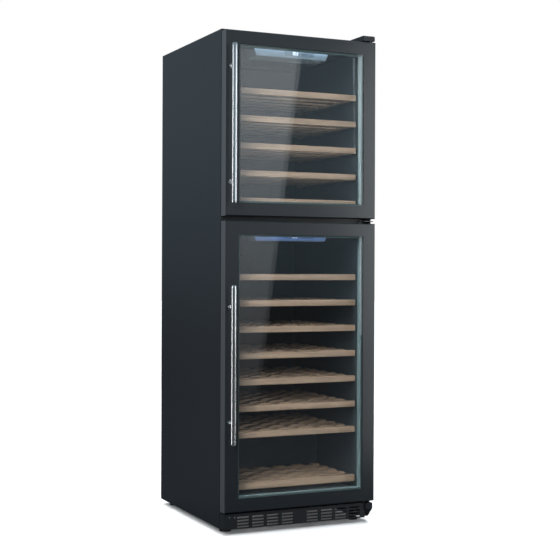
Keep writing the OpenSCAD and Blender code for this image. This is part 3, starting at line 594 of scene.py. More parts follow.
@dataclass(frozen=True)
class SoftSeal(Finish):
    """Extruded seal rubber with a fine grain and a bloom."""

    def shade(self, w: Wiring, where: bpy.types.NodeSocket, fx: Effects) -> bpy.types.NodeSocket:
        """Returns the rubber's shader.

        Args:
            w: The wiring to add to.
            where: The surface's own coordinates.
            fx: The shared effects.

        Returns:
            The shader socket.
        """
        mottle = self.effect(w, fx.mottle, Vector=where, Fine=700.0)
        dark, light = self.tones(0.8, 1.5)
        base = w.blend(mottle["Cloud"], dark, light)
        dusty = self.effect(w, fx.dust, Vector=where, Amount=0.3)["Mask"]
        base = w.blend(dusty, base, (0.2, 0.2, 0.19))
        rough = self.uneven(w, mottle["Cloud"], 0.06, 0.06)
        return w.add(
            "ShaderNodeBsdfPrincipled", None, Base_Color=base, Roughness=rough, IOR=1.45, Sheen_Weight=0.15,
            Normal=w.bump(mottle["Grain"], 0.0004, 0.3),
        ).outputs[0]


@dataclass(frozen=True)
class Glow(Finish):
    """A lit diffuser or a lit mark.

    Attributes:
        light: The colour of the light.
        strength: Its strength.
        lower: The colour below the split, for lights that both zones have.
        split: The height between the zones.
    """

    light: Colour = (0.3, 0.55, 1.0)
    strength: float = 4.0
    lower: Colour | None = None
    split: float = 1.11

    def shade(self, w: Wiring, where: bpy.types.NodeSocket, fx: Effects) -> bpy.types.NodeSocket:
        """Returns the lit surface's shader.

        Args:
            w: The wiring to add to.
            where: The surface's own coordinates.
            fx: The shared effects.

        Returns:
            The shader socket.
        """
        mottle = self.effect(w, fx.mottle, Vector=where, Fine=500.0)
        dark, light = self.tones(0.9, 1.1)
        hue = w.blend(mottle["Cloud"], tuple(c * 0.75 for c in self.light), self.light)
        if self.lower:
            height = w.split(where)[2]
            hue = w.blend(w.maths("GREATER_THAN", height, self.split), self.lower, hue)
        rough = self.uneven(w, mottle["Grain"], 0.04, 0.05)
        base = w.blend(mottle["Cloud"], dark, light)
        return w.add(
            "ShaderNodeBsdfPrincipled", None, Base_Color=base, Roughness=rough, Emission_Color=hue,
            Emission_Strength=self.strength,
        ).outputs[0]


@dataclass(frozen=True)
class RigidFoam(Finish):
    """Foamed-in insulation with fine cells."""

    def shade(self, w: Wiring, where: bpy.types.NodeSocket, fx: Effects) -> bpy.types.NodeSocket:
        """Returns the foam's shader.

        Args:
            w: The wiring to add to.
            where: The surface's own coordinates.
            fx: The shared effects.

        Returns:
            The shader socket.
        """
        cells = w.add("ShaderNodeTexVoronoi", None, Vector=where, Scale=700.0).outputs["Distance"]
        mottle = self.effect(w, fx.mottle, Vector=where, Fine=300.0)
        dark, light = self.tones(0.8, 1.1)
        return w.add(
            "ShaderNodeBsdfPrincipled", None, Base_Color=w.blend(mottle["Cloud"], dark, light),
            Roughness=w.spread(cells, 0.0, 0.6, self.roughness - 0.1, self.roughness + 0.05),
            Normal=w.bump(cells, 0.0008, 0.5),
        ).outputs[0]


FINISHES: dict[str, Finish] = {
    "black_steel": PaintedSteel("black_steel", (0.012, 0.0145, 0.018), 0.30, dust=0.03),
    "rear_steel": PaintedSteel("rear_steel", (0.030, 0.033, 0.036), 0.52, dust=0.2),
    "door_frame": PaintedSteel(
        "door_frame", (0.013, 0.016, 0.019), 0.30, wear=0.25, dust=0.03, edge=(0.055, 0.060, 0.066)
    ),
    "compressor_paint": PaintedSteel("compressor_paint", (0.008, 0.008, 0.009), 0.28, dust=0.35, coat=0.3),
    "zinc_steel": BrushedMetal("zinc_steel", (0.46, 0.48, 0.49), 0.38, stretch=(900.0, 60.0, 60.0)),
    "screw_steel": BrushedMetal("screw_steel", (0.30, 0.31, 0.32), 0.34, stretch=(900.0, 900.0, 900.0)),
    "stainless": BrushedMetal(
        "stainless", (0.74, 0.74, 0.74), 0.15, stretch=(60.0, 60.0, 3200.0), depth=0.07
    ),
    "spacer": BrushedMetal("spacer", (0.15, 0.215, 0.22), 0.46, stretch=(800.0, 800.0, 60.0), metal=0.3),
    "aluminium": BrushedMetal("aluminium", (0.66, 0.67, 0.69), 0.32, stretch=(80.0, 80.0, 900.0)),
    "condenser_metal": BrushedMetal("condenser_metal", (0.22, 0.20, 0.17), 0.48, stretch=(80.0, 80.0, 900.0)),
    "black_plastic": MouldedPlastic("black_plastic", (0.012, 0.013, 0.015), 0.42),
    "foot_plastic": MouldedPlastic("foot_plastic", (0.012, 0.012, 0.013), 0.55, dust=0.3),
    "rail_plastic": MouldedPlastic("rail_plastic", (0.015, 0.016, 0.018), 0.40),
    "liner_plastic": MouldedPlastic("liner_plastic", (0.026, 0.033, 0.037), 0.38, grain=1400.0, dust=0.02),
    "duct_plastic": MouldedPlastic("duct_plastic", (0.018, 0.021, 0.025), 0.42, grain=1100.0, dust=0.04),
    "panel_plastic": MouldedPlastic(
        "panel_plastic", (0.44, 0.52, 0.56), 0.25, grain=1600.0, depth=0.08, dust=0.0
    ),
    "bush_plastic": MouldedPlastic("bush_plastic", (0.04, 0.04, 0.04), 0.35),
    "fan_plastic": MouldedPlastic("fan_plastic", (0.015, 0.015, 0.016), 0.36),
    "glass": ClearPane("glass", (0.95, 0.97, 0.98), 0.0),
    "gasket": SoftSeal("gasket", (0.010, 0.010, 0.011), 0.55),
    "rubber": SoftSeal("rubber", (0.008, 0.008, 0.008), 0.62),
    "beech": Timber("beech", (0.362, 0.240, 0.158), 0.42),
    "display": MouldedPlastic("display", (0.30, 0.36, 0.39), 0.10, depth=0.02, dust=0.0),
    "light": Glow(
        "light", (0.7, 0.8, 0.9), 0.3, light=(0.62, 0.80, 1.0), strength=6.0, lower=(0.10, 0.30, 1.0)
    ),
    "foam": RigidFoam("foam", (0.78, 0.68, 0.40), 0.8),
}

# Second finishes that belong to a slot above, each named for what it adds to it.
EXTRAS: dict[str, Finish] = {
    "runner": Timber("beech", (0.33, 0.23, 0.155), 0.46, along_y=True),
    "copper": BrushedMetal("condenser_metal", (0.78, 0.36, 0.20), 0.3, wear=0.0),
    "tile": Glow("light", (0.7, 0.75, 0.8), 0.2, light=(0.80, 0.90, 1.0), strength=0.8),
    "marks": MouldedPlastic("display", (0.015, 0.018, 0.022), 0.2, depth=0.02),
}


# ---------------------------------------------------------------- mesh making


class Shapes:
    """Mesh builders in the frame's own coordinates, in metres."""

    @staticmethod
    def settle(name: str, bm: bmesh.types.BMesh, crease: float = CREASE) -> bpy.types.Mesh:
        """Turns a bmesh into a mesh that is smooth except at its creases, its faces as they are.

        Args:
            name: The mesh's name.
            bm: The bmesh, which is freed.
            crease: The angle in degrees over which an edge stays sharp.

        Returns:
            The mesh.
        """
        made = bpy.data.meshes.new(name)
        bm.to_mesh(made)
        bm.free()
        made.shade_smooth()
        made.set_sharp_from_angle(angle=math.radians(crease))
        return made

    @classmethod
    def mesh(cls, name: str, bm: bmesh.types.BMesh, crease: float = CREASE) -> bpy.types.Mesh:
        """Turns a bmesh into a mesh like settle, with its faces turned outwards.

        Args:
            name: The mesh's name.
            bm: The bmesh, which is freed.
            crease: The angle in degrees over which an edge stays sharp.

        Returns:
            The mesh.
        """
        bmesh.ops.recalc_face_normals(bm, faces=bm.faces)
        return cls.settle(name, bm, crease)

    @staticmethod
    def level(mesh: bpy.types.Mesh) -> bpy.types.Mesh:
        """Returns the mesh with flat faces shaded flat and only its rounded edges shaded round.

        Args:
            mesh: The mesh.

        Returns:
            The levelled mesh.
        """
        holder = hang("level", mesh)
        holder.modifiers.new("level", "WEIGHTED_NORMAL").keep_sharp = True
        made = made_plain(holder)
        bpy.data.objects.remove(holder)
        return made

    @staticmethod
    def grid(
        bm: bmesh.types.BMesh, rings: Sequence[Sequence[Point]], closed_ring: bool, closed_run: bool
    ) -> None:
        """Joins rows of points with quads.

        Args:
            bm: The bmesh to add to.
            rings: Rows of points, all of one length.
            closed_ring: True if each row closes on itself.
            closed_run: True if the last row joins the first.
        """
        rows = [[bm.verts.new(p) for p in ring] for ring in rings]
        count = len(rows[0])
        for i in range(len(rows) if closed_run else len(rows) - 1):
            here, there = rows[i], rows[(i + 1) % len(rows)]
            for j in range(count if closed_ring else count - 1):
                k = (j + 1) % count
                bm.faces.new((here[j], here[k], there[k], there[j]))
        if closed_ring and not closed_run:
            bm.faces.new(list(reversed(rows[0])))
            bm.faces.new(rows[-1])

    @staticmethod
    def rounded(points: Sequence[Flat], radii: Sequence[float], steps: int = 3) -> list[Flat]:
        """Rounds the corners of a closed flat outline.

        Args:
            points: The outline's corners.
            radii: A radius for each corner, 0 to leave it.
            steps: Segments in each rounded corner.

        Returns:
            The rounded outline.
        """
        out: list[Flat] = []
        count = len(points)
        for i, (corner, radius) in enumerate(zip(points, radii)):
            here = Vector(corner)
            back = Vector(points[i - 1]) - here
            on = Vector(points[(i + 1) % count]) - here
            if radius <= 0.0:
                out.append(tuple(here))
                continue
            half = back.angle(on) / 2
            run = min(radius / math.tan(half), back.length * 0.49, on.length * 0.49)
            first, last = here + back.normalized() * run, here + on.normalized() * run
            for s in range(steps + 1):
                t = s / steps
                out.append(tuple(first * (1 - t) ** 2 + here * 2 * t * (1 - t) + last * t * t))
        return out

    @staticmethod
    def circle(radius: float, height: float, sides: int, centre: Flat = (0.0, 0.0)) -> list[Point]:
        """Returns the points of a level circle.

        Args:
            radius: Its radius.
            height: Its height.
            sides: How many points it has.
            centre: Its middle in X and Y.

        Returns:
            The points.
        """
        turns = (2 * math.pi * i / sides for i in range(sides))
        return [(centre[0] + radius * math.cos(a), centre[1] + radius * math.sin(a), height) for a in turns]

    @classmethod
    def lathe(
        cls, name: str, profile: Sequence[Flat], centre: Point = (0.0, 0.0, 0.0), sides: int = 64
    ) -> bpy.types.Mesh:
        """Turns a profile of (radius, height) about an upright axis into a closed solid.

        Args:
            name: The mesh's name.
            profile: Points from one pole to the other, poles left out.
            centre: The point at height 0 on the axis.
            sides: Segments round the axis.

        Returns:
            The mesh.
        """
        bm = bmesh.new()
        rings = [cls.circle(r, centre[2] + h, sides, centre[:2]) for r, h in profile]
        cls.grid(bm, rings, True, False)
        return cls.mesh(name, bm)

    @classmethod
    def ring(cls, name: str, profile: Sequence[Flat], lo: Vector, hi: Vector) -> bpy.types.Mesh:
        """Sweeps a closed profile round an upright rectangle with mitred corners.

        Args:
            name: The mesh's name.
            profile: Points of (distance in from the rectangle, distance behind its front).
            lo: The rectangle's lowest corner and front.
            hi: Its highest corner.

        Returns:
            The mesh.
        """
        bm = bmesh.new()
        rings = []
        for sx, sz in ((0, 0), (1, 0), (1, 1), (0, 1)):
            rings.append([
                ((hi.x - u if sx else lo.x + u), lo.y + y, (hi.z - u if sz else lo.z + u)) for u, y in profile
            ])
        cls.grid(bm, rings, True, True)
        return cls.mesh(name, bm)

    @classmethod
    def tube(
        cls, name: str, path: Sequence[Point], radius: float, sides: int = 14, turn: float = 0.012
    ) -> bpy.types.Mesh:
        """Makes a closed pipe along a path with rounded bends.

        Args:
            name: The mesh's name.
            path: The path's corner points.
            radius: The pipe's radius.
            sides: Segments round it.
            turn: The radius of the bends.

        Returns:
            The mesh.
        """
        points: list[Vector] = [Vector(path[0])]
        for i in range(1, len(path) - 1):
            here = Vector(path[i])
            back, on = Vector(path[i - 1]) - here, Vector(path[i + 1]) - here
            run = min(turn, back.length * 0.45, on.length * 0.45)
            first, last = here + back.normalized() * run, here + on.normalized() * run
            for t in (0, 0.25, 0.5, 0.75, 1):
                points.append(first * (1 - t) ** 2 + here * 2 * t * (1 - t) + last * t * t)
        points.append(Vector(path[-1]))
        bm = bmesh.new()
        rings, side = [], None
        for i, p in enumerate(points):
            ahead = (points[min(i + 1, len(points) - 1)] - points[max(i - 1, 0)]).normalized()
            if side is None:
                side = ahead.orthogonal().normalized()
            side = (side - ahead * side.dot(ahead)).normalized()
            up = ahead.cross(side)
            flat = cls.circle(1.0, 0.0, sides)
            rings.append([tuple(p + radius * (c * side + s * up)) for c, s, _ in flat])
        cls.grid(bm, rings, True, False)
        return cls.mesh(name, bm)

    @classmethod
    def slab(
        cls, name: str, outline: Sequence[Flat], y0: float, y1: float, bevel: float = 0.0
    ) -> bpy.types.Mesh:
        """Draws an outline in X and Z out along Y.

        Args:
            name: The mesh's name.
            outline: The closed outline.
            y0: The front.
            y1: The back.
            bevel: The width of the bevel on the edges of both ends.

        Returns:
            The mesh.
        """
        bm = bmesh.new()
        front = [bm.verts.new((x, y0, z)) for x, z in outline]
        back = [bm.verts.new((x, y1, z)) for x, z in outline]
        count = len(outline)
        ends = [bm.faces.new(front), bm.faces.new(list(reversed(back)))]
        for i in range(count):
            j = (i + 1) % count
            bm.faces.new((front[j], front[i], back[i], back[j]))
        if bevel > 0.0:
            edges = {e for f in ends for e in f.edges}
            bmesh.ops.bevel(
                bm, geom=list(edges), offset=bevel, segments=2, profile=0.6, affect="EDGES",
                clamp_overlap=True,
            )
        return cls.mesh(name, bm)


@dataclass
class GeometryTree:
    """A Geometry Nodes tree that copies one small shape to many points.

    Attributes:
        name: The tree's name.
        tree: The tree itself.
        keys: The identifier of each named input.
    """

    name: str
    tree: bpy.types.NodeTree = field(init=False)
    keys: dict[str, str] = field(init=False, default_factory=dict)

    def __post_init__(self) -> None:
        """Makes the empty tree with its geometry in and out."""
        self.tree = bpy.data.node_groups.new(self.name, "GeometryNodeTree")
        self.tree.interface.new_socket(name="Geometry", in_out="INPUT", socket_type="NodeSocketGeometry")
        self.tree.interface.new_socket(name="Geometry", in_out="OUTPUT", socket_type="NodeSocketGeometry")

    def size(self, label: str, kind: str, value: Any = None) -> None:
        """Adds a named input.

        Args:
            label: The input's name.
            kind: Its socket type, such as Float or Material.
            value: Its usual value.
        """
        socket = self.tree.interface.new_socket(name=label, in_out="INPUT", socket_type=f"NodeSocket{kind}")
        if value is not None:
            socket.default_value = value
        self.keys[label] = socket.identifier

    def grow(self, points: bpy.types.Mesh, name: str, **values: Any) -> bpy.types.Mesh:
        """Runs the tree on a mesh and returns a plain mesh.

        Args:
            points: The mesh that the tree starts from.
            name: The name of the result.
            **values: A value for each named input, with _ for a space.

        Returns:
            The finished mesh.
        """
        holder = hang(f"{name}_source", points)
        modifier = holder.modifiers.new(self.name, "NODES")
        modifier.node_group = self.tree
        for label, value in values.items():
            modifier[self.keys[label.replace("_", " ")]] = value
        made = made_plain(holder)
        made.name = name
        holder.modifiers.remove(modifier)
        bpy.data.objects.remove(holder)
        made.shade_smooth()
        made.set_sharp_from_angle(angle=math.radians(CREASE))
        return made


class Repeats:
    """The Geometry Nodes trees for parts that repeat."""

    def __init__(self) -> None:
        """Builds the trees."""
        self.copies = self._copies()
        self.fins = self._fins()

    @staticmethod
    def _copies() -> GeometryTree:
        """Returns a tree that puts a shape on each point, its Z along the point's facing attribute.

        Returns:
            The tree.
        """
        made = GeometryTree("copies_on_points")
        made.size("Shape", "Object")
        made.size("Scale", "Float", 1.0)
        made.size("Finish", "Material")
        w = Wiring(made.tree)
        source = w.add("NodeGroupInput").outputs
        kind = {"data_type": "FLOAT_VECTOR"}
        facing = w.add("GeometryNodeInputNamedAttribute", kind, Name="facing").outputs[0]
        turn = w.add("FunctionNodeAlignRotationToVector", {"axis": "Z"}, Vector=facing).outputs[0]
        shape = w.add("GeometryNodeObjectInfo", None, Object=source["Shape"]).outputs["Geometry"]
        put = w.add(
            "GeometryNodeInstanceOnPoints", None, Points=source["Geometry"], Instance=shape, Rotation=turn,
            Scale=source["Scale"],
        ).outputs[0]
        real = w.add("GeometryNodeRealizeInstances", None, Geometry=put).outputs[0]
        dressed = w.add("GeometryNodeSetMaterial", None, Geometry=real, Material=source["Finish"]).outputs[0]
        made.tree.links.new(dressed, w.add("NodeGroupOutput").inputs[0])
        return made

    @staticmethod
    def _fins() -> GeometryTree:
        """Returns a tree that lines up thin fins along X from each point.

        Returns:
            The tree.
        """
        made = GeometryTree("fin_pack")
        made.size("Fins", "Int", 40)
        for label, value in (("Pitch", 0.004), ("Thickness", 0.0004), ("Depth", 0.024), ("Height", 0.17)):
            made.size(label, "Float", value)
        made.size("Finish", "Material")
        w = Wiring(made.tree)
        source = w.add("NodeGroupInput").outputs
        step = w.add("ShaderNodeCombineXYZ", None, i0=source["Pitch"]).outputs[0]
        line = w.add("GeometryNodeMeshLine", {"mode": "OFFSET"}, Count=source["Fins"], Offset=step).outputs[0]
        size = w.add(
            "ShaderNodeCombineXYZ", None, i0=source["Thickness"], i1=source["Depth"], i2=source["Height"]
        ).outputs[0]
        fin = w.add("GeometryNodeMeshCube", None, Size=size).outputs[0]
        pack = w.add("GeometryNodeInstanceOnPoints", None, Points=line, Instance=fin).outputs[0]
        real = w.add("GeometryNodeRealizeInstances", None, Geometry=pack).outputs[0]
        put = w.add("GeometryNodeInstanceOnPoints", None, Points=source["Geometry"], Instance=real).outputs[0]
        whole = w.add("GeometryNodeRealizeInstances", None, Geometry=put).outputs[0]
        dressed = w.add("GeometryNodeSetMaterial", None, Geometry=whole, Material=source["Finish"]).outputs[0]
        made.tree.links.new(dressed, w.add("NodeGroupOutput").inputs[0])
        return made


class Workshop:
    """Makes finished pieces and puts them on the frame's bodies."""

    def __init__(self) -> None:
        """Builds the effects, the materials and the repeating trees."""
        self.fx = Effects()
        self.materials = {name: finish.material(self.fx) for name, finish in FINISHES.items()}
        self.repeats = Repeats()
        record = frame["record"]
        self.slots = {part["node"]: part["material_slot"] for part in record["subparts"]}
        bodies = record["behaviour"]["bodies"]
        self.bodies = {node: body for body, nodes in bodies.items() for node in nodes}
        self.done: set[str] = set()

    def place(
        self, name: str, mesh: bpy.types.Mesh, slot: str, body: str, stands_for: Sequence[str] = ()
    ) -> bpy.types.Object:
        """Puts a finished mesh on a body.

        Args:
            name: The piece's name.
            mesh: Its mesh, with its place in its points.
            slot: The material slot of its finish.
            body: The body that it moves with.
            stands_for: The frame's nodes that it replaces.

        Returns:
            The piece.
        """
        piece = hang(name, mesh)
        if not mesh.materials:
            mesh.materials.append(self.materials[slot])
        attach(piece, body)
        if stands_for:
            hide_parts(*stands_for)
            self.done.update(stands_for)
        log.info("%s: %d faces on %s", name, len(mesh.polygons), body)
        return piece

    def keep(self, node: str) -> None:
        """Gives a node of the frame its finish and leaves its shape as it is.

        Args:
            node: The node.
        """
        shown = frame["nodes"][node]
        material = self.materials[self.slots[node]]
        for slot in shown.material_slots:
            slot.material = material
        if not shown.material_slots:
            shown.data.materials.append(material)
        self.done.add(node)
        log.info("%s: kept with its finish", node)

    def soften(
        self, node: str, width: float, segments: int = 2, hollow: float = 0.0, longer: float = 0.0
    ) -> bpy.types.Object:
        """Stands in for a node with a copy whose edges are rounded as moulded or folded edges are.

        Args:
            node: The node to copy.
            width: The bevel's width on outer edges.
            segments: Segments across a bevel.
            hollow: The width on inner corners, 0 for the same as width.
            longer: Edges shorter than this are left.

        Returns:
            The piece.
        """
        bm = bmesh.new()
        bm.from_mesh(frame["nodes"][node].data)
        bmesh.ops.remove_doubles(bm, verts=bm.verts, dist=WELD)
        bmesh.ops.dissolve_limit(bm, angle_limit=math.radians(0.6), verts=bm.verts, edges=bm.edges)
        for convex, size in ((False, hollow or width), (True, width)):
            sharp = [
                e for e in bm.edges
                if e.is_manifold and e.is_convex == convex and e.calc_length() > max(longer, size * 1.5)
                and e.calc_face_angle(0.0) > math.radians(28.0)
            ]
            if sharp:
                bmesh.ops.bevel(
                    bm, geom=sharp, offset=size, segments=segments if size == width else 4, profile=0.5,
                    affect="EDGES", clamp_overlap=True,
                )
        made = Shapes.level(Shapes.settle(f"{node}_soft", bm, 48.0))
        return self.place(f"{node}_body", made, self.slots[node], self.bodies[node], [node])

    def copies(
        self, name: str, shape: bpy.types.Mesh, spots: Spots, slot: str, body: str,
        stands_for: Sequence[str] = (),
    ) -> bpy.types.Object:
        """Puts a copy of a shape on each spot.

        Args:
            name: The piece's name.
            shape: The shape, with its outward direction along Z.
            spots: The place of each copy and the direction it faces.
            slot: The material slot of its finish.
            body: The body that it moves with.
            stands_for: The frame's nodes that it replaces.

        Returns:
            The piece.
        """
        made = self.scatter(name, shape, spots, self.materials[slot])
        return self.place(name, made, slot, body, stands_for)

    def scatter(
        self, name: str, shape: bpy.types.Mesh, spots: Spots, finish: bpy.types.Material
    ) -> bpy.types.Mesh:
        """Returns one mesh with a copy of a shape on each spot.

        Args:
            name: The mesh's name.
            shape: The shape, with its outward direction along Z.
            spots: The place of each copy and the direction it faces.
            finish: The material.

        Returns:
            The mesh.
        """
        points = bpy.data.meshes.new(f"{name}_spots")
        points.from_pydata([spot for spot, _ in spots], [], [])
        facing = points.attributes.new("facing", "FLOAT_VECTOR", "POINT")
        for item, (_, direction) in zip(facing.data, spots):
            item.vector = direction
        template = hang(f"{name}_shape", shape)
        made = self.repeats.copies.grow(points, name, Shape=template, Finish=finish)
        bpy.data.objects.remove(template)
        return made


# ---------------------------------------------------------------- sub-assemblies


@dataclass
class Cabinet:
    """The steel wrap, the back, the liners and their fixings.

    Attributes:
        shop: The workshop.
        sheet: The thickness of the steel.
        fold: The outer radius of the wrap's folds.
        fold_steps: Segments in each fold.
        lip: The width of the bevel on the sheet's front and back edges.
        liner_round: The radius of the liners' inner corners.
        back_screws: The places of the back's screws, as shares of its height from the top.
    """

    shop: Workshop
    sheet: float = 1.2 * MM
    fold: float = 3.0 * MM
    fold_steps: int = 6
    lip: float = 0.3 * MM
    liner_round: float = 7.0 * MM
    back_screws: tuple[float, ...] = (0.0, 0.17, 0.34, 0.5, 0.67, 0.84, 1.0)

    def build(self) -> None:
        """Builds and dresses every piece of the cabinet."""
        self.wrap()
        for node, width, hollow in (
            ("face_frame", 0.3, 0.3), ("back_panel", 0.3, 0.3), ("hinge_cover", 1.4, 0.6),
            ("top_hinge", 0.5, 0.5), ("middle_hinge", 0.5, 0.5), ("bottom_hinge", 0.6, 0.6),
            ("shelf_rails", 0.4, 0.4),
        ):
            self.shop.soften(node, width * MM, hollow=hollow * MM)
        for zone in Zone:
            self.shop.soften(f"{zone.value}_liner", 0.4 * MM, hollow=self.liner_round)
        self.shop.keep("insulation_foam")
        self.screws()

    def wrap(self) -> None:
        """Builds the folded side and top sheet, open at the front, back and bottom."""
        lo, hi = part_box("cabinet_wrap")
        outer, inner = [], []
        for line, radius, grow in ((outer, self.fold, 0.0), (inner, self.fold - self.sheet, self.sheet)):
            x0, x1, top = lo.x + grow, hi.x - grow, hi.z - grow
            line.append((x0, lo.z))
            for cx, start in ((x0 + radius, math.pi), (x1 - radius, math.pi / 2)):
                for s in range(self.fold_steps + 1):
                    a = start - s / self.fold_steps * math.pi / 2
                    line.append((cx + radius * math.cos(a), top - radius + radius * math.sin(a)))
            line.append((x1, lo.z))
        outline = outer + inner[::-1]
        bm = bmesh.new()
        total = len(outline)
        lip = self.lip
        verts = []
        for y, shrink in ((lo.y, lip), (lo.y + lip, 0.0), (hi.y - lip, 0.0), (hi.y, lip)):
            flat = [self._inset(outline, i, shrink) for i in range(total)]
            verts.append([bm.verts.new((x, y, z)) for x, z in flat])
        for here, there in zip(verts, verts[1:]):
            for i in range(total):
                j = (i + 1) % total
                bm.faces.new((here[i], here[j], there[j], there[i]))
        for row in (verts[0], verts[-1]):
            for i in range(len(outer) - 1):
                bm.faces.new((row[i], row[i + 1], row[total - 2 - i], row[total - 1 - i]))
        mesh = Shapes.level(Shapes.mesh("cabinet_wrap_body", bm, 50.0))
        self.shop.place("cabinet_wrap_body", mesh, "black_steel", "cabinet", ["cabinet_wrap"])

    def _inset(self, outline: Sequence[Flat], i: int, shrink: float) -> Flat:
        """Moves a point of the wrap's outline towards the middle of its sheet.

        Args:
            outline: The outer line and the inner one back again.
            i: The point's number.
            shrink: How far it moves.

        Returns:
            The moved point.
        """
        share = shrink / self.sheet
        x, z = outline[i]
        ox, oz = outline[-1 - i]
        return x + (ox - x) * share, z + (oz - z) * share

    @staticmethod
    def pan_head(name: str, radius: float, height: float) -> bpy.types.Mesh:
        """Returns a pan-head screw with a cross recess, its head up along Z.

        Args:
            name: The mesh's name.
            radius: The head's radius.
            height: The head's height.

        Returns:
            The mesh.
        """
        bm = bmesh.new()
        sides, arm, half = 40, radius * 0.52, radius * 0.13
        dome = ((0.96, 0.0), (1.0, 0.12), (1.0, 0.38), (0.9, 0.72), (0.7, 0.94), (0.6, 1.0))
        rings = [Shapes.circle(radius * r, height * z, sides) for r, z in dome]
        for depth, share in ((1.0, 1.0), (0.45, 0.72)):
            ring = []
            for i in range(sides):
                a = 2 * math.pi * i / sides
                c, s = abs(math.cos(a)) + 1e-9, abs(math.sin(a)) + 1e-9
                r = max(min(arm / c, half / s), min(arm / s, half / c)) * share
                ring.append((r * math.cos(a), r * math.sin(a), height * depth))
            rings.append(ring)
        Shapes.grid(bm, rings, True, False)
        return Shapes.mesh(name, bm, 40.0)

    def screws(self) -> None:
        """Builds the screws of the top hinge, the grille and the back."""
        lo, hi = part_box("top_hinge")
        grille_lo, grille_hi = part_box("kick_grille")
        cab_lo, cab_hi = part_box("cabinet_wrap")
        plate_top = cab_hi.z + 3.0 * MM
        spots: Spots = [((x, hi.y - 14 * MM, plate_top), UP) for x in (lo.x + 8 * MM, hi.x - 8 * MM)]
        screw_z = grille_hi.z - 13 * MM
        spots += [((grille_lo.x + d * MM, grille_lo.y, screw_z), FORWARDS) for d in (22, 41)]
        bay_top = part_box("compressor")[1].z + 60 * MM
        for x in (cab_lo.x + 14 * MM, cab_hi.x - 14 * MM):
            for share in self.back_screws:
                z = cab_hi.z - 20 * MM + (bay_top - cab_hi.z + 20 * MM) * share
                spots.append(((x, cab_hi.y, z), BACKWARDS))
        head = self.pan_head("pan_head", 3.8 * MM, 2.0 * MM)
        self.shop.copies("cabinet_screw_heads", head, spots, "screw_steel", "cabinet", ["cabinet_screws"])


@dataclass
class Plinth:
    """The base, the kick grille and the feet.

    Attributes:
        shop: The workshop.
        slot: The width and height of a grille slot.
        columns: Columns of slots at each side of the solid middle.
        rows: Rows of slots.
        pitch: The spacing of the columns and of the rows.
        first: The distance of the first column from the middle.
        pad: The radius of a foot's pad.
        ribs: Grip ribs round a pad.
    """

    shop: Workshop
    slot: Flat = (46 * MM, 6.5 * MM)
    columns: int = 4
    rows: int = 4
    pitch: Flat = (57.5 * MM, 11 * MM)
    first: float = 49.625 * MM
    pad: float = 21 * MM
    ribs: int = 28

    def build(self) -> None:
        """Builds and dresses every piece of the plinth."""
        self.shop.soften("base_frame", 0.4 * MM)
        self.shop.soften("kick_grille", 0.5 * MM)
        self.rims()
        self.feet()

    def rims(self) -> None:
        """Builds the raised, round-ended rim of each grille slot."""
        lo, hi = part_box("kick_grille")
        w, h = self.slot[0] / 2, self.slot[1] / 2
        bm = bmesh.new()
        rings = []
        for grow, rise in ((0.9, -0.4), (0.9, 0.2), (0.6, 0.5), (0.1, 0.5), (-0.5, 0.1), (-0.6, -1.6)):
            a, b = w + grow * MM, h + grow * MM
            outline = Shapes.rounded([(-a, -b), (a, -b), (a, b), (-a, b)], [b * 0.98] * 4, 4)
            rings.append([(x, z, rise * MM) for x, z in outline])
        Shapes.grid(bm, rings, True, True)
        rim = Shapes.mesh("slot_rim", bm, 50.0)
        top = hi.z - 14 * MM
        spots: Spots = [
            ((side * (self.first + column * self.pitch[0]), lo.y, top - row * self.pitch[1]), FORWARDS)
            for side in (-1, 1) for column in range(self.columns) for row in range(self.rows)
        ]
        self.shop.copies("grille_slot_rims", rim, spots, "black_plastic", "cabinet")

    def feet(self) -> None:
        """Builds four screw feet with ribbed pads."""
        lo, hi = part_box("levelling_feet")
        radius, pad = self.pad, self.pad / MM
        top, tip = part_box("base_frame")[0].z / MM, hi.z / MM
        profile = [
            (2.0, 0.0), (pad - 1.2, 0.0), (pad - 0.3, 0.5), (pad - 0.3, 6.6), (pad - 1.5, 7.6),
            (pad - 4, 8.9), (9.2, 10.0), (9.0, 10.6), (9.0, top - 0.4), (5.2, top - 0.3), (5.0, top),
            (5.0, tip - 0.6), (4.4, tip), (1.0, tip),
        ]
        centres = [(x, y) for x in (lo.x + radius, hi.x - radius) for y in (lo.y + radius, hi.y - radius)]
        bm = bmesh.new()
        for centre in centres:
            Shapes.grid(bm, [Shapes.circle(r * MM, z * MM, 48, centre) for r, z in profile], True, False)
        name = "levelling_feet_body"
        self.shop.place(name, Shapes.mesh(name, bm), "foot_plastic", "cabinet", ["levelling_feet"])
        spots: Spots = []
        for x, y in centres:
            for i in range(self.ribs):
                a = 2 * math.pi * i / self.ribs
                r = radius - 0.85 * MM
                facing = (math.cos(a), math.sin(a), 0.0)
                spots.append(((x + r * facing[0], y + r * facing[1], 3.6 * MM), facing))
        self.shop.copies("foot_grip_ribs", self.upright_rib(), spots, "foot_plastic", "cabinet")

    @staticmethod
    def upright_rib() -> bpy.types.Mesh:
        """Returns a small grip rib that stands up and bulges along Z.

        Returns:
            The rib's mesh.
        """
        outline = [(-0.8, -0.5), (0.8, -0.5), (0.5, 0.35), (0.0, 0.5), (-0.5, 0.35)]
        along = ((-1.0, 0.4), (-0.7, 1.0), (0.7, 1.0), (1.0, 0.4))
        bm = bmesh.new()
        rings = [[(x * MM, t * 2.6 * MM, z * MM * s) for x, z in outline] for t, s in along]
        Shapes.grid(bm, rings, True, False)
        made = Shapes.mesh("upright_rib", bm)
        made.transform(Matrix.Rotation(math.pi / 2, 4, "Z"))
        return made


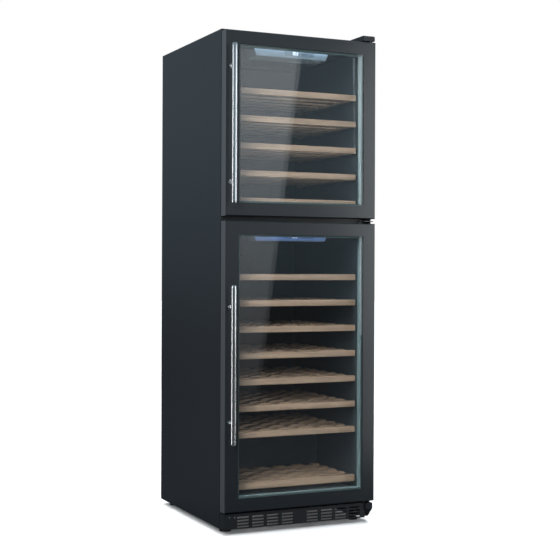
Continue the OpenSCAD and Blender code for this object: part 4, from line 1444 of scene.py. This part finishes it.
@dataclass
class Door:
    """One door: its frame, two panes, spacer, seal, handle and bushes.

    Attributes:
        shop: The workshop.
        zone: Which zone it closes.
        hole_pitch: The spacing of the spacer's drying holes.
        hole_rows: The place of each row of holes, as a share of the spacer's depth.
    """

    shop: Workshop
    zone: Zone
    hole_pitch: float = 7.0 * MM
    hole_rows: Flat = (0.38, 0.62)

    def build(self) -> None:
        """Builds and dresses every piece of the door."""
        name = self.zone.value
        self.shop.soften(f"{name}_door_frame", 0.7 * MM, segments=3)
        for pane in ("outer", "inner"):
            self.shop.keep(f"{name}_door_{pane}_glass")
        self.shop.soften(f"{name}_door_spacer", 0.8 * MM)
        self.spacer_holes()
        self.seal()
        self.handle()
        self.shop.soften(f"{name}_handle_posts", 0.5 * MM, longer=0.4 * MM)
        self.shop.soften(f"{name}_door_bushes", 0.4 * MM)

    def body(self) -> str:
        """Returns the name of the door's body."""
        return f"{self.zone.value}_door"

    def spacer_holes(self) -> None:
        """Builds the two rows of drying holes round the inside of the spacer."""
        lo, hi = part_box(f"{self.zone.value}_door_spacer")
        bar = 6 * MM - 0.04 * MM
        spots: Spots = []
        x0, x1, z0, z1 = lo.x + bar, hi.x - bar, lo.z + bar, hi.z - bar
        for share in self.hole_rows:
            y = lo.y + (hi.y - lo.y) * share
            for i in range(1, int((x1 - x0) / self.hole_pitch)):
                x = x0 + i * self.hole_pitch
                spots += [((x, y, z0), UP), ((x, y, z1), DOWN)]
            for i in range(1, int((z1 - z0) / self.hole_pitch)):
                z = z0 + i * self.hole_pitch
                spots += [((x0, y, z), (1.0, 0.0, 0.0)), ((x1, y, z), (-1.0, 0.0, 0.0))]
        rim = [(0.75 * MM, -0.2 * MM), (0.75 * MM, 0.06 * MM), (0.5 * MM, 0.02 * MM)]
        hole = Shapes.lathe("drying_hole", rim, sides=6)
        self.shop.copies(f"{self.zone.value}_spacer_holes", hole, spots, "gasket", self.body())

    def seal(self) -> None:
        """Builds the magnetic seal with its two bellows."""
        node = f"{self.zone.value}_door_gasket"
        lo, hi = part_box(node)
        deep = (hi.y - lo.y) / MM
        flat = [
            (0.0, 0.0), (21.0, 0.0), (21.0, 1.6), (19.4, 2.2), (19.0, deep), (12.2, deep), (11.6, 2.4),
            (9.6, 2.4), (9.0, deep), (2.0, deep), (1.4, 2.2), (0.0, 1.6),
        ]
        radii = [0.0, 0.0, 0.5, 0.8, 1.4, 1.4, 0.8, 0.8, 1.4, 1.4, 0.8, 0.5]
        profile = [(u * MM, y * MM) for u, y in Shapes.rounded(flat, radii)]
        mesh = Shapes.level(Shapes.ring(f"{node}_body", profile, lo, hi))
        self.shop.place(f"{node}_body", mesh, "gasket", self.body(), [node])

    def handle(self) -> None:
        """Builds the tube with its pressed-in domed ends."""
        node = f"{self.zone.value}_door_handle"
        lo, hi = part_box(node)
        r, length = (hi.x - lo.x) / 2 / MM, (hi.z - lo.z) / MM
        end = [
            (0.4, 0.0), (r * 0.45, 0.12), (r * 0.72, 0.7), (r * 0.9, 1.8), (r * 0.98, 3.2), (r, 4.6),
            (r, 11.6), (r - 0.22, 11.8), (r - 0.22, 12.2), (r, 12.4),
        ]
        middle = [(r, 60.0), (r, length / 2), (r, length - 60.0)]
        profile = [(q * MM, z * MM) for q, z in end + middle + [(q, length - z) for q, z in reversed(end)]]
        foot = ((lo.x + hi.x) / 2, (lo.y + hi.y) / 2, lo.z)
        mesh = Shapes.lathe(f"{node}_body", profile, foot, sides=72)
        self.shop.place(f"{node}_body", mesh, "stainless", self.body(), [node])


@dataclass
class SlattedShelf:
    """A beech shelf: a front strip, two runners and cross slats with a hollow for each bottle.

    Attributes:
        shop: The workshop.
        node: The frame's node that it stands for.
        slats: Cross slats behind the front strip.
        strip: The depth of the front strip.
        slat: The depth and thickness of a slat.
        runner: The width and height of a runner.
        drop: The drop from the shelf's top to a runner's top.
        bottles: Hollows across the shelf.
        hollow: The radius and depth of a hollow.
    """

    shop: Workshop
    node: str
    slats: int = 6
    strip: float = 18 * MM
    slat: Flat = (32 * MM, 13 * MM)
    runner: Flat = (12 * MM, 12 * MM)
    drop: float = 8 * MM
    bottles: int = 6
    hollow: Flat = (38 * MM, 6 * MM)

    def build(self) -> None:
        """Builds the shelf from its parts, as one piece for its body."""
        lo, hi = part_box(self.node)
        half, top = hi.x, hi.z
        slat_top = top - 1 * MM
        pitch = (hi.y - lo.y - self.strip - self.slat[0]) / (self.slats - 0.35)
        shape = self.one_slat(half - self.runner[0] / 2)
        back = hi.y - self.slat[0]
        spots: Spots = [
            ((0.0, back - (self.slats - i) * pitch, slat_top), UP) for i in range(1, self.slats + 1)
        ]
        beech = self.shop.materials["beech"]
        bm = bmesh.new()
        bm.from_mesh(self.shop.scatter(f"{self.node}_slats", shape, spots, beech))
        self.front_strip(bm, lo, hi)
        self.runners(bm, lo, hi)
        made = Shapes.settle(f"{self.node}_body", bm, 30.0)
        made.materials.clear()
        made.materials.append(beech)
        made.materials.append(self.shop.materials["runner"])
        self.shop.place(f"{self.node}_body", made, "beech", self.shop.bodies[self.node], [self.node])

    def one_slat(self, half: float) -> bpy.types.Mesh:
        """Returns one cross slat with rounded edges, its front at Y 0 and its top at Z 0.

        Args:
            half: Half its length.

        Returns:
            The slat's mesh.
        """
        wide = 2 * (half + self.runner[0] / 2 - 10 * MM) / self.bottles
        radius, deep = self.hollow
        reach = math.sqrt(radius**2 - (radius - deep) ** 2)
        outline = [(-half, -self.slat[1]), (half, -self.slat[1]), (half, 0.0)]
        for i in reversed(range(self.bottles)):
            centre = (i - (self.bottles - 1) / 2) * wide
            a0 = math.asin(reach / radius)
            for s in range(9):
                a = a0 - 2 * a0 * s / 8
                outline.append((centre + radius * math.sin(a), radius - deep - radius * math.cos(a)))
        outline.append((-half, 0.0))
        return Shapes.slab("slat_shape", outline, 0.0, self.slat[0], 1.2 * MM)

    def front_strip(self, bm: bmesh.types.BMesh, lo: Vector, hi: Vector) -> None:
        """Adds the front strip with its rounded nose.

        Args:
            bm: The shelf's bmesh.
            lo: The shelf's lowest corner.
            hi: Its highest corner.
        """
        low = hi.z - (25 * MM if self.node == "bottom_rack" else 22 * MM)
        back = lo.y + self.strip
        flat = [(lo.y, low), (back, low), (back, hi.z), (lo.y, hi.z)]
        outline = Shapes.rounded(flat, [2.6 * MM, 1 * MM, 1 * MM, 2.6 * MM], 4)
        middle = (lo.y + self.strip / 2, hi.z - (hi.z - low) / 2)
        ends = ((lo.x, 0.93), (lo.x + 0.7 * MM, 1.0), (hi.x - 0.7 * MM, 1.0), (hi.x, 0.93))
        rings = [[(x, y, z) for y, z in self._shrunk(outline, middle, share)] for x, share in ends]
        self._solid(bm, rings)

    def runners(self, bm: bmesh.types.BMesh, lo: Vector, hi: Vector) -> None:
        """Adds the two side runners.

        Args:
            bm: The shelf's bmesh.
            lo: The shelf's lowest corner.
            hi: Its highest corner.
        """
        w, h = self.runner
        z1 = hi.z - self.drop
        ends = ((lo.y + self.strip - 1 * MM, 1.0), (hi.y - 0.7 * MM, 1.0), (hi.y, 0.9))
        for x0 in (lo.x, hi.x - w):
            flat = [(x0, z1 - h), (x0 + w, z1 - h), (x0 + w, z1), (x0, z1)]
            outline = Shapes.rounded(flat, [1 * MM] * 4, 2)
            middle = (x0 + w / 2, z1 - h / 2)
            rings = [[(x, y, z) for x, z in self._shrunk(outline, middle, share)] for y, share in ends]
            for face in self._solid(bm, rings):
                face.material_index = 1

    @staticmethod
    def _shrunk(outline: Sequence[Flat], middle: Flat, share: float) -> list[Flat]:
        """Returns an outline drawn in towards its middle."""
        return [tuple(m + (c - m) * share for c, m in zip(point, middle)) for point in outline]

    @staticmethod
    def _solid(bm: bmesh.types.BMesh, rings: Sequence[Sequence[Point]]) -> list[bmesh.types.BMFace]:
        """Adds a closed solid whose faces point outwards.

        Args:
            bm: The bmesh to add to.
            rings: Its cross-sections in order.

        Returns:
            The new faces.
        """
        first = len(bm.faces)
        Shapes.grid(bm, rings, True, False)
        bm.faces.ensure_lookup_table()
        added = bm.faces[first:]
        bmesh.ops.recalc_face_normals(bm, faces=added)
        return added


@dataclass
class Controls:
    """The ceiling housings with their displays, marks and lights.

    Attributes:
        shop: The workshop.
        digit: The width and height of a digit.
        stem: The thickness of a digit's bars.
        gap: The gap between a digit's upright and level bars.
        stroke: Half the width of a drawn line.
        sunk: How far each mark reaches into the layer below it.
        tile: The left, right and inset of the lit tile behind the digits.
        tile_corner: The radius of the lit tile's corners.
        proud: How far each layer of the marks stands out.
        keys: The place of each key's mark.
        reading: What each zone's display shows.
        lamps_across: Lamps in one light strip.
        bars: The lit bars of each figure.
    """

    shop: Workshop
    digit: Flat = (5.2 * MM, 10 * MM)
    stem: float = 1.1 * MM
    gap: float = 0.3 * MM
    stroke: float = 0.35 * MM
    sunk: float = 0.05 * MM
    tile: Point = (5 * MM, 27 * MM, 1.6 * MM)
    tile_corner: float = 1.8 * MM
    proud: float = 0.12 * MM
    keys: tuple[float, ...] = (44 * MM, 57 * MM, 70 * MM, 82 * MM)
    reading: dict[Zone, str] = field(default_factory=lambda: {Zone.UPPER: "12", Zone.LOWER: "06"})
    lamps_across: int = 20
    bars: dict[str, str] = field(
        default_factory=lambda: {"0": "abcdef", "1": "bc", "2": "abged", "6": "afgedc"}
    )

    def build(self) -> None:
        """Builds and dresses both zones' controls."""
        for zone in Zone:
            self.shop.soften(f"{zone.value}_control_housing", 0.9 * MM, hollow=0.5 * MM)
            self.marks(zone)
        self.shop.soften("control_displays", 0.2 * MM)
        self.shop.keep("light_strips")
        self.lamps()

    def _panel(self, zone: Zone) -> tuple[float, float, float]:
        """Finds a zone's display.

        Args:
            zone: The zone.

        Returns:
            The display's front, bottom and top.
        """
        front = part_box("control_displays")[0].y
        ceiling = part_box(f"{zone.value}_control_housing")[1].z
        return front, ceiling - 38 * MM + 9 * MM, ceiling - 38 * MM + 27 * MM

    def marks(self, zone: Zone) -> None:
        """Builds the lit tile, the digits and the key marks of a zone.

        Args:
            zone: The zone.
        """
        face, z0, z1 = self._panel(zone)
        x0, x1, inset = self.tile
        low, high = z0 + inset, z1 - inset
        corners = [(x0, low), (x1, low), (x1, high), (x0, high)]
        outline = Shapes.rounded(corners, [self.tile_corner] * 4, steps=4)
        front = face - self.proud / 2
        lit = Shapes.slab(f"{zone.value}_display_tile", outline, front, face + self.proud, self.proud / 3)
        lit.materials.append(self.shop.materials["tile"])
        self.shop.place(f"{zone.value}_display_tile", lit, "light", "cabinet")
        y, mid = face - self.proud, (z0 + z1) / 2
        bm = bmesh.new()
        x = x0 + 4.4 * MM
        for figure in self.reading[zone]:
            self._digit(bm, figure, x, mid - self.digit[1] / 2, y)
            x += self.digit[0] + 2.8 * MM
        power, lamp = self.keys[:2]
        self._arc(bm, (power, mid), y, 3.2 * MM, 0.35 * math.pi, 1.9 * math.pi)
        self._bar(bm, power - self.stroke, mid + 0.6 * MM, power + self.stroke, mid + 4 * MM, y)
        self._arc(bm, (lamp, mid + 0.6 * MM), y, 2.6 * MM, -0.3 * math.pi, 1.6 * math.pi)
        self._bar(bm, lamp - 1.2 * MM, mid - 3.8 * MM, lamp + 1.2 * MM, mid - 3.1 * MM, y)
        for key_x, direction in zip(self.keys[2:], (1, -1)):
            tip = mid + direction * 2.6 * MM
            for side in (-1, 1):
                self._stroke(bm, (key_x + side * 3 * MM, mid - direction * 1.4 * MM), (key_x, tip), y)
        marks = Shapes.mesh(f"{zone.value}_control_marks", bm)
        marks.materials.append(self.shop.materials["marks"])
        self.shop.place(f"{zone.value}_control_marks", marks, "display", "cabinet")

    def _raised(self, bm: bmesh.types.BMesh, corners: Sequence[Flat], y: float) -> None:
        """Adds a thin raised shape in front of y.

        Args:
            bm: The bmesh to add to.
            corners: The shape's corners in X and Z.
            y: The surface that it lies on.
        """
        rings = [[(x, depth, z) for x, z in corners] for depth in (y - self.proud, y + self.sunk)]
        Shapes.grid(bm, rings, True, False)

    def _bar(self, bm: bmesh.types.BMesh, x0: float, z0: float, x1: float, z1: float, y: float) -> None:
        """Adds a thin raised bar in front of y."""
        self._raised(bm, ((x0, z0), (x1, z0), (x1, z1), (x0, z1)), y)

    def _stroke(self, bm: bmesh.types.BMesh, a: Flat, b: Flat, y: float) -> None:
        """Adds a thin raised stroke.

        Args:
            bm: The bmesh to add to.
            a: Its start.
            b: Its end.
            y: The surface that it lies on.
        """
        run = Vector((b[0] - a[0], b[1] - a[1]))
        u, v = Vector((-run.y, run.x)).normalized() * self.stroke
        (ax, az), (bx, bz) = a, b
        self._raised(bm, [(ax - u, az - v), (bx - u, bz - v), (bx + u, bz + v), (ax + u, az + v)], y)

    def _arc(self, bm: bmesh.types.BMesh, centre: Flat, y: float, r: float, a0: float, a1: float) -> None:
        """Adds a thin raised arc.

        Args:
            bm: The bmesh to add to.
            centre: Its centre in X and Z.
            y: The surface that it lies on.
            r: Its radius.
            a0: Its start, in radians.
            a1: Its end, in radians.
        """
        rings = []
        cx, cz = centre
        steps, back, front = 18, y + self.sunk, y - self.proud
        for i in range(steps + 1):
            a = a0 + (a1 - a0) * i / steps + math.pi * 0.27
            c, s = math.cos(a), math.sin(a)
            inner, outer = r - self.stroke, r + self.stroke
            corners = ((inner, back), (outer, back), (outer, front), (inner, front))
            rings.append([(cx + q * c, depth, cz + q * s) for q, depth in corners])
        Shapes.grid(bm, rings, True, False)

    def _digit(self, bm: bmesh.types.BMesh, figure: str, x: float, z: float, y: float) -> None:
        """Adds one seven-segment digit.

        Args:
            bm: The bmesh to add to.
            figure: The figure.
            x: Its left.
            z: Its foot.
            y: The surface that it lies on.
        """
        w, h = self.digit
        t, g = self.stem, self.gap
        right, half = x + w, z + h / 2
        places = {
            "a": (x, z + h - t, right, z + h),
            "b": (right - t, half + g, right, z + h - t - g),
            "c": (right - t, z + t + g, right, half - g),
            "d": (x, z, right, z + t),
            "e": (x, z + t + g, x + t, half - g),
            "f": (x, half + g, x + t, z + h - t - g),
            "g": (x + t + g, half - t / 2, right - t - g, half + t / 2),
        }
        for name in self.bars[figure]:
            self._bar(bm, *places[name], y)

    def lamps(self) -> None:
        """Builds the row of small lamps under each light strip."""
        lo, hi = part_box("light_strips")
        spots: Spots = []
        middle, pitch = (lo.y + hi.y) / 2, (hi.x - lo.x) / self.lamps_across
        for zone in Zone:
            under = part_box(f"{zone.value}_control_housing")[1].z - 5.7 * MM
            spots += [((lo.x + pitch * (i + 0.5), middle, under), DOWN) for i in range(self.lamps_across)]
        dome = [(2.2 * MM, -0.2 * MM), (2.2 * MM, 0.5 * MM), (1.7 * MM, 1.3 * MM), (0.7 * MM, 1.8 * MM)]
        lamp = Shapes.lathe("lamp_dome", dome, sides=12)
        self.shop.copies("strip_lamps", lamp, spots, "light", "cabinet")


@dataclass
class AirSystem:
    """The duct covers, fans and evaporators of both zones.

    Attributes:
        shop: The workshop.
        passes: Runs of the tube through one evaporator.
        pack: The height of one evaporator.
        fins: Fins in one evaporator.
        fin: The thickness of a fin.
        tube: The radius of the tube.
        bend: How far its bends reach past the outermost fins.
    """

    shop: Workshop
    passes: int = 4
    pack: float = 170 * MM
    fins: int = 60
    fin: float = 0.4 * MM
    tube: float = 4 * MM
    bend: float = 8 * MM

    def build(self) -> None:
        """Builds and dresses every piece of the air system."""
        for zone in Zone:
            self.shop.soften(f"{zone.value}_duct_cover", 0.4 * MM)
            self.shop.soften(f"{zone.value}_fan", 0.3 * MM)
        self.coils()

    def coils(self) -> None:
        """Builds both evaporators, each a looped tube through a pack of fins."""
        lo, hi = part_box("evaporators")
        bm = bmesh.new()
        starts = []
        x0, x1 = lo.x + self.bend * 3.2, hi.x - self.bend * 3.2
        y = (lo.y + hi.y) / 2
        row = self.pack / self.passes
        for foot in (lo.z, hi.z - self.pack):
            path: list[Point] = []
            for k in range(self.passes):
                ends = (x0 - self.bend, x1 + self.bend)
                path += [(x, y, foot + row * (k + 0.5)) for x in (ends if k % 2 == 0 else ends[::-1])]
            bm.from_mesh(Shapes.tube("evaporator_pipe", path, self.tube, turn=row * 0.48))
            starts.append((x0, y, foot + self.pack / 2))
        points = bpy.data.meshes.new("evaporator_starts")
        points.from_pydata(starts, [], [])
        finish = self.shop.materials["aluminium"]
        bm.from_mesh(self.shop.repeats.fins.grow(
            points, "evaporator_fins", Fins=self.fins, Pitch=(x1 - x0) / (self.fins - 1), Thickness=self.fin,
            Depth=hi.y - lo.y, Height=self.pack, Finish=finish,
        ))
        made = Shapes.settle("evaporators_body", bm)
        made.materials.clear()
        self.shop.place("evaporators_body", made, "aluminium", "cabinet", ["evaporators"])


@dataclass
class CoolingBay:
    """The compressor, the condenser with its fan, the pan, the inlet and the pipes between them.

    Attributes:
        shop: The workshop.
        ceiling: The height where the pipes leave the bay.
        coil_rows: Rows of tube in the condenser.
        coil_foot: The height of the condenser's feet.
        coil_end: How far its open tube ends lie in from its bends.
        lap: How far a pipe reaches into what it joins.
    """

    shop: Workshop
    ceiling: float = 288.8 * MM
    coil_rows: int = 5
    coil_foot: float = 4 * MM
    coil_end: float = 19 * MM
    lap: float = 2 * MM

    def build(self) -> None:
        """Builds and dresses every piece of the bay."""
        self.shop.soften("compressor", 0.8 * MM, longer=1.5 * MM)
        for node in ("compressor_mounts", "condenser"):
            self.shop.keep(node)
        self.shop.soften("condenser_fan_frame", 0.4 * MM, longer=1.0 * MM)
        for node, width in (("condenser_fan", 0.3), ("drain_pan", 0.5), ("power_inlet", 0.5)):
            self.shop.soften(node, width * MM)
        self.pipes()

    def pipes(self) -> None:
        """Builds the discharge, liquid, capillary and suction pipes and the filter drier."""
        lo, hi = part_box("compressor")
        coil_lo, coil_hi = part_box("condenser")
        x, y, z = (lo.x + hi.x) / 2, (lo.y + hi.y) / 2, lo.z + 96 * MM
        coil_y = (coil_lo.y + coil_hi.y) / 2
        row = (coil_hi.z - coil_lo.z - self.coil_foot) / self.coil_rows
        top_row, low_row = coil_hi.z - row / 2, coil_lo.z + self.coil_foot + row / 2
        over = coil_hi.z + 9 * MM
        discharge = [
            (x + 50 * MM, y - 10 * MM, z), (x + 84 * MM, y - 10 * MM, z), (x + 84 * MM, y - 10 * MM, over),
            (coil_lo.x - 30 * MM, coil_y, over), (coil_hi.x - 4 * MM, coil_y, over),
            (coil_hi.x - 4 * MM, coil_y, top_row), (coil_hi.x - self.coil_end - self.lap, coil_y, top_row),
        ]
        drier_x, foot, head = coil_lo.x - 15 * MM, coil_lo.z + 67 * MM, coil_lo.z + 142 * MM
        liquid = [
            (coil_lo.x + self.coil_end + self.lap, coil_y, low_row), (drier_x, coil_y, low_row),
            (drier_x, coil_y, foot + self.lap),
        ]
        capillary = [(drier_x, coil_y, head - self.lap), (drier_x, coil_y, self.ceiling)]
        suction = [
            (x - 50 * MM, y - 18 * MM, z), (x - 86 * MM, y - 18 * MM, z),
            (x - 86 * MM, y - 62 * MM, z + 8 * MM), (x - 86 * MM, y - 62 * MM, self.ceiling),
        ]
        runs = ((discharge, 3.2 * MM), (liquid, 3.2 * MM), (capillary, 1.6 * MM), (suction, 4.0 * MM))
        bm = bmesh.new()
        for path, radius in runs:
            bm.from_mesh(Shapes.tube("pipe", path, radius))
        tall = (head - foot) / MM
        profile = [
            (2.6, 0.0), (3.6, 1.0), (3.8, 5.0), (8.0, 12.0), (9.5, 15.0), (9.5, tall - 15.0),
            (8.0, tall - 12.0), (3.8, tall - 5.0), (3.0, tall - 1.0), (2.0, tall),
        ]
        turned = [(r * MM, h * MM) for r, h in profile]
        bm.from_mesh(Shapes.lathe("drier", turned, (drier_x, coil_y, foot), sides=32))
        mesh = Shapes.settle("copper_pipes", bm, 40.0)
        mesh.materials.append(self.shop.materials["copper"])
        self.shop.place("copper_pipes", mesh, "condenser_metal", "cabinet")


# ---------------------------------------------------------------- studio


@dataclass
class Studio:
    """The pale floor, the soft lights, the surroundings and the camera.

    Attributes:
        stand: The camera's place.
        yaw: Its turn to the right of the Y axis, in degrees.
        roll: Its roll, in degrees.
        lens: Its focal length in millimetres on a 36 mm sensor.
        rise: Its shift.
    """

    stand: Point = (-1.9015, -4.2202, 0.9351)
    yaw: float = 24.91
    roll: float = 0.228
    lens: float = 77.98
    rise: float = -0.0209

    def build(self) -> None:
        """Sets up the whole studio."""
        self.floor()
        self.surroundings()
        self.lights()
        self.camera()
        bpy.context.scene.view_settings.view_transform = "Standard"

    def floor(self) -> None:
        """Lays a wide pale floor."""
        mesh = Shapes.lathe("floor", [(30.0, -0.02), (30.0, 0.0)])
        floor = hang("floor", mesh)
        material = bpy.data.materials.new("pale_floor")
        w = Wiring.fresh(material)
        path = w.add("ShaderNodeLightPath").outputs
        dull = w.add("ShaderNodeBsdfDiffuse", None, Color=(0.80, 0.80, 0.80, 1.0)).outputs[0]
        dark = w.add("ShaderNodeBsdfDiffuse", None, Color=(0.030, 0.032, 0.035, 1.0)).outputs[0]
        lift = w.add("ShaderNodeEmission", None, Color=WHITE, Strength=0.07).outputs[0]
        pale = w.add("ShaderNodeAddShader", None, i0=dull, i1=lift).outputs[0]
        shown = w.add("ShaderNodeMixShader", None, i0=path["Is Camera Ray"], i1=dark, i2=pale).outputs[0]
        w.tree.links.new(shown, w.add("ShaderNodeOutputMaterial").inputs["Surface"])
        mesh.materials.append(material)

    def surroundings(self) -> None:
        """Makes a white backdrop for the camera and a soft grey room for light and gloss."""
        world = bpy.data.worlds.new("studio")
        bpy.context.scene.world = world
        w = Wiring.fresh(world)
        way = w.add("ShaderNodeTexCoord").outputs["Generated"]
        part = w.split(way)
        high = w.spread(part[2], -0.10, 0.14, 0.03, 0.32)
        side = w.spread(part[0], 0.35, 1.0, 0.0, 0.10)
        level = w.maths("ADD", high, side)
        room = w.add("ShaderNodeBackground", None, Color=(0.66, 0.86, 1.0, 1.0), Strength=level).outputs[0]
        white = w.add("ShaderNodeBackground", None, Color=WHITE, Strength=1.0).outputs[0]
        seen = w.add("ShaderNodeLightPath").outputs["Is Camera Ray"]
        shown = w.add("ShaderNodeMixShader", None, i0=seen, i1=room, i2=white).outputs[0]
        w.tree.links.new(shown, w.add("ShaderNodeOutputWorld").inputs["Surface"])

    @staticmethod
    def area(
        name: str, place: Point, aim: Point, size: Flat, power: float, colour: Colour = WHITE[:3],
        twist: float = 0.0, glossy: bool = True,
    ) -> bpy.types.AreaLight:
        """Hangs one soft rectangular light.

        Args:
            name: Its name.
            place: Where it hangs.
            aim: The point it faces.
            size: Its width and height.
            power: Its power in watts.
            colour: Its colour.
            twist: Its turn about its own axis, in degrees.
            glossy: False if it leaves no highlight.

        Returns:
            The lamp.
        """
        lamp = bpy.data.lights.new(name, "AREA")
        lamp.shape = "RECTANGLE"
        lamp.size, lamp.size_y = size
        lamp.energy = power
        lamp.color = colour
        holder = hang(name, lamp)
        look = (Vector(aim) - Vector(place)).to_track_quat("-Z", "Y").to_matrix().to_4x4()
        holder.matrix_world = Matrix.Translation(place) @ look @ Matrix.Rotation(math.radians(twist), 4, "Z")
        holder.visible_camera = False
        holder.visible_glossy = glossy
        return lamp

    def lights(self) -> None:
        """Hangs the studio's lights."""
        middle, left_handle = (0.0, 0.0, 0.9), (-0.28, -0.35, 1.02)
        self.area("key", (-3.2, -3.4, 3.0), middle, (1.8, 2.2), 190.0, glossy=False)
        self.area("left_strip", (-1.45, -0.14, 1.02), left_handle, (0.16, 1.9), 6.5)
        self.area("right_strip", (0.85, -1.17, 1.02), left_handle, (0.10, 1.9), 3.2)
        self.area("top", (0.2, -0.6, 4.2), middle, (3.0, 3.0), 70.0, glossy=False)
        box, aim = (0.645, -2.657, 1.20), (0.645, -0.3, 1.20)
        self.fade(self.area("tall_softbox", box, aim, (0.72, 2.05), 3.4, (0.94, 0.97, 1.0), -7.6))
        self.area("rim", (2.15, -2.6, 1.42), (0.25, -0.3, 1.2), (1.2, 1.8), 14.0, (0.88, 0.96, 1.0))
        self.area("rear", (1.0, 4.0, 2.4), (0.0, 0.3, 0.8), (2.6, 2.0), 60.0, glossy=False)
        sun = bpy.data.lights.new("overhead", "SUN")
        sun.energy = 3.9
        sun.angle = math.radians(50.0)
        holder = hang("overhead", sun)
        holder.rotation_euler = (math.radians(-12.0), math.radians(4.0), 0.0)
        holder.visible_glossy = False

    @staticmethod
    def fade(lamp: bpy.types.AreaLight) -> None:
        """Makes a lamp fall off towards its foot.

        Args:
            lamp: The lamp.
        """
        w = Wiring.fresh(lamp)
        place = w.add("ShaderNodeNewGeometry").outputs["Parametric"]
        rise = w.spread(w.split(place)[1], 0.0, 0.9, 0.0, 1.0)
        glow = w.maths("POWER", rise, 0.8)
        shown = w.add("ShaderNodeEmission", None, Color=WHITE, Strength=glow).outputs[0]
        w.tree.links.new(shown, w.add("ShaderNodeOutputLight").inputs[0])

    def camera(self) -> None:
        """Sets up the camera."""
        eye = bpy.data.cameras.new("camera")
        eye.lens = self.lens
        eye.sensor_width = 36.0
        eye.shift_y = self.rise
        holder = hang("camera", eye)
        a, b = math.radians(self.yaw), math.radians(self.roll)
        right = Vector((math.cos(a), -math.sin(a), 0.0))
        up = Vector((0.0, 0.0, 1.0))
        right, up = math.cos(b) * right + math.sin(b) * up, -math.sin(b) * right + math.cos(b) * up
        back = right.cross(up)
        turn = Matrix((right, up, back)).transposed().to_4x4()
        holder.matrix_world = Matrix.Translation(self.stand) @ turn
        bpy.context.scene.camera = holder


def main() -> None:
    """Builds the object's looks and the studio."""
    logging.basicConfig(level=logging.INFO, format="%(name)s: %(message)s")
    shop = Workshop()
    for name, finish in EXTRAS.items():
        shop.materials[name] = finish.material(shop.fx, f"_{name}")
    Cabinet(shop).build()
    Plinth(shop).build()
    for zone in Zone:
        Door(shop, zone).build()
    shelves = [n for n in frame["nodes"] if "_shelf_" in n] + ["bottom_rack"]
    for node in sorted(shelves):
        SlattedShelf(shop, node, slats=4 if node == "bottom_rack" else 6).build()
    Controls(shop).build()
    AirSystem(shop).build()
    CoolingBay(shop).build()
    Studio().build()
    left = sorted(set(frame["nodes"]) - shop.done)
    if left:
        log.warning("nodes with no finish: %s", left)


if __name__ == "__main__":
    main()
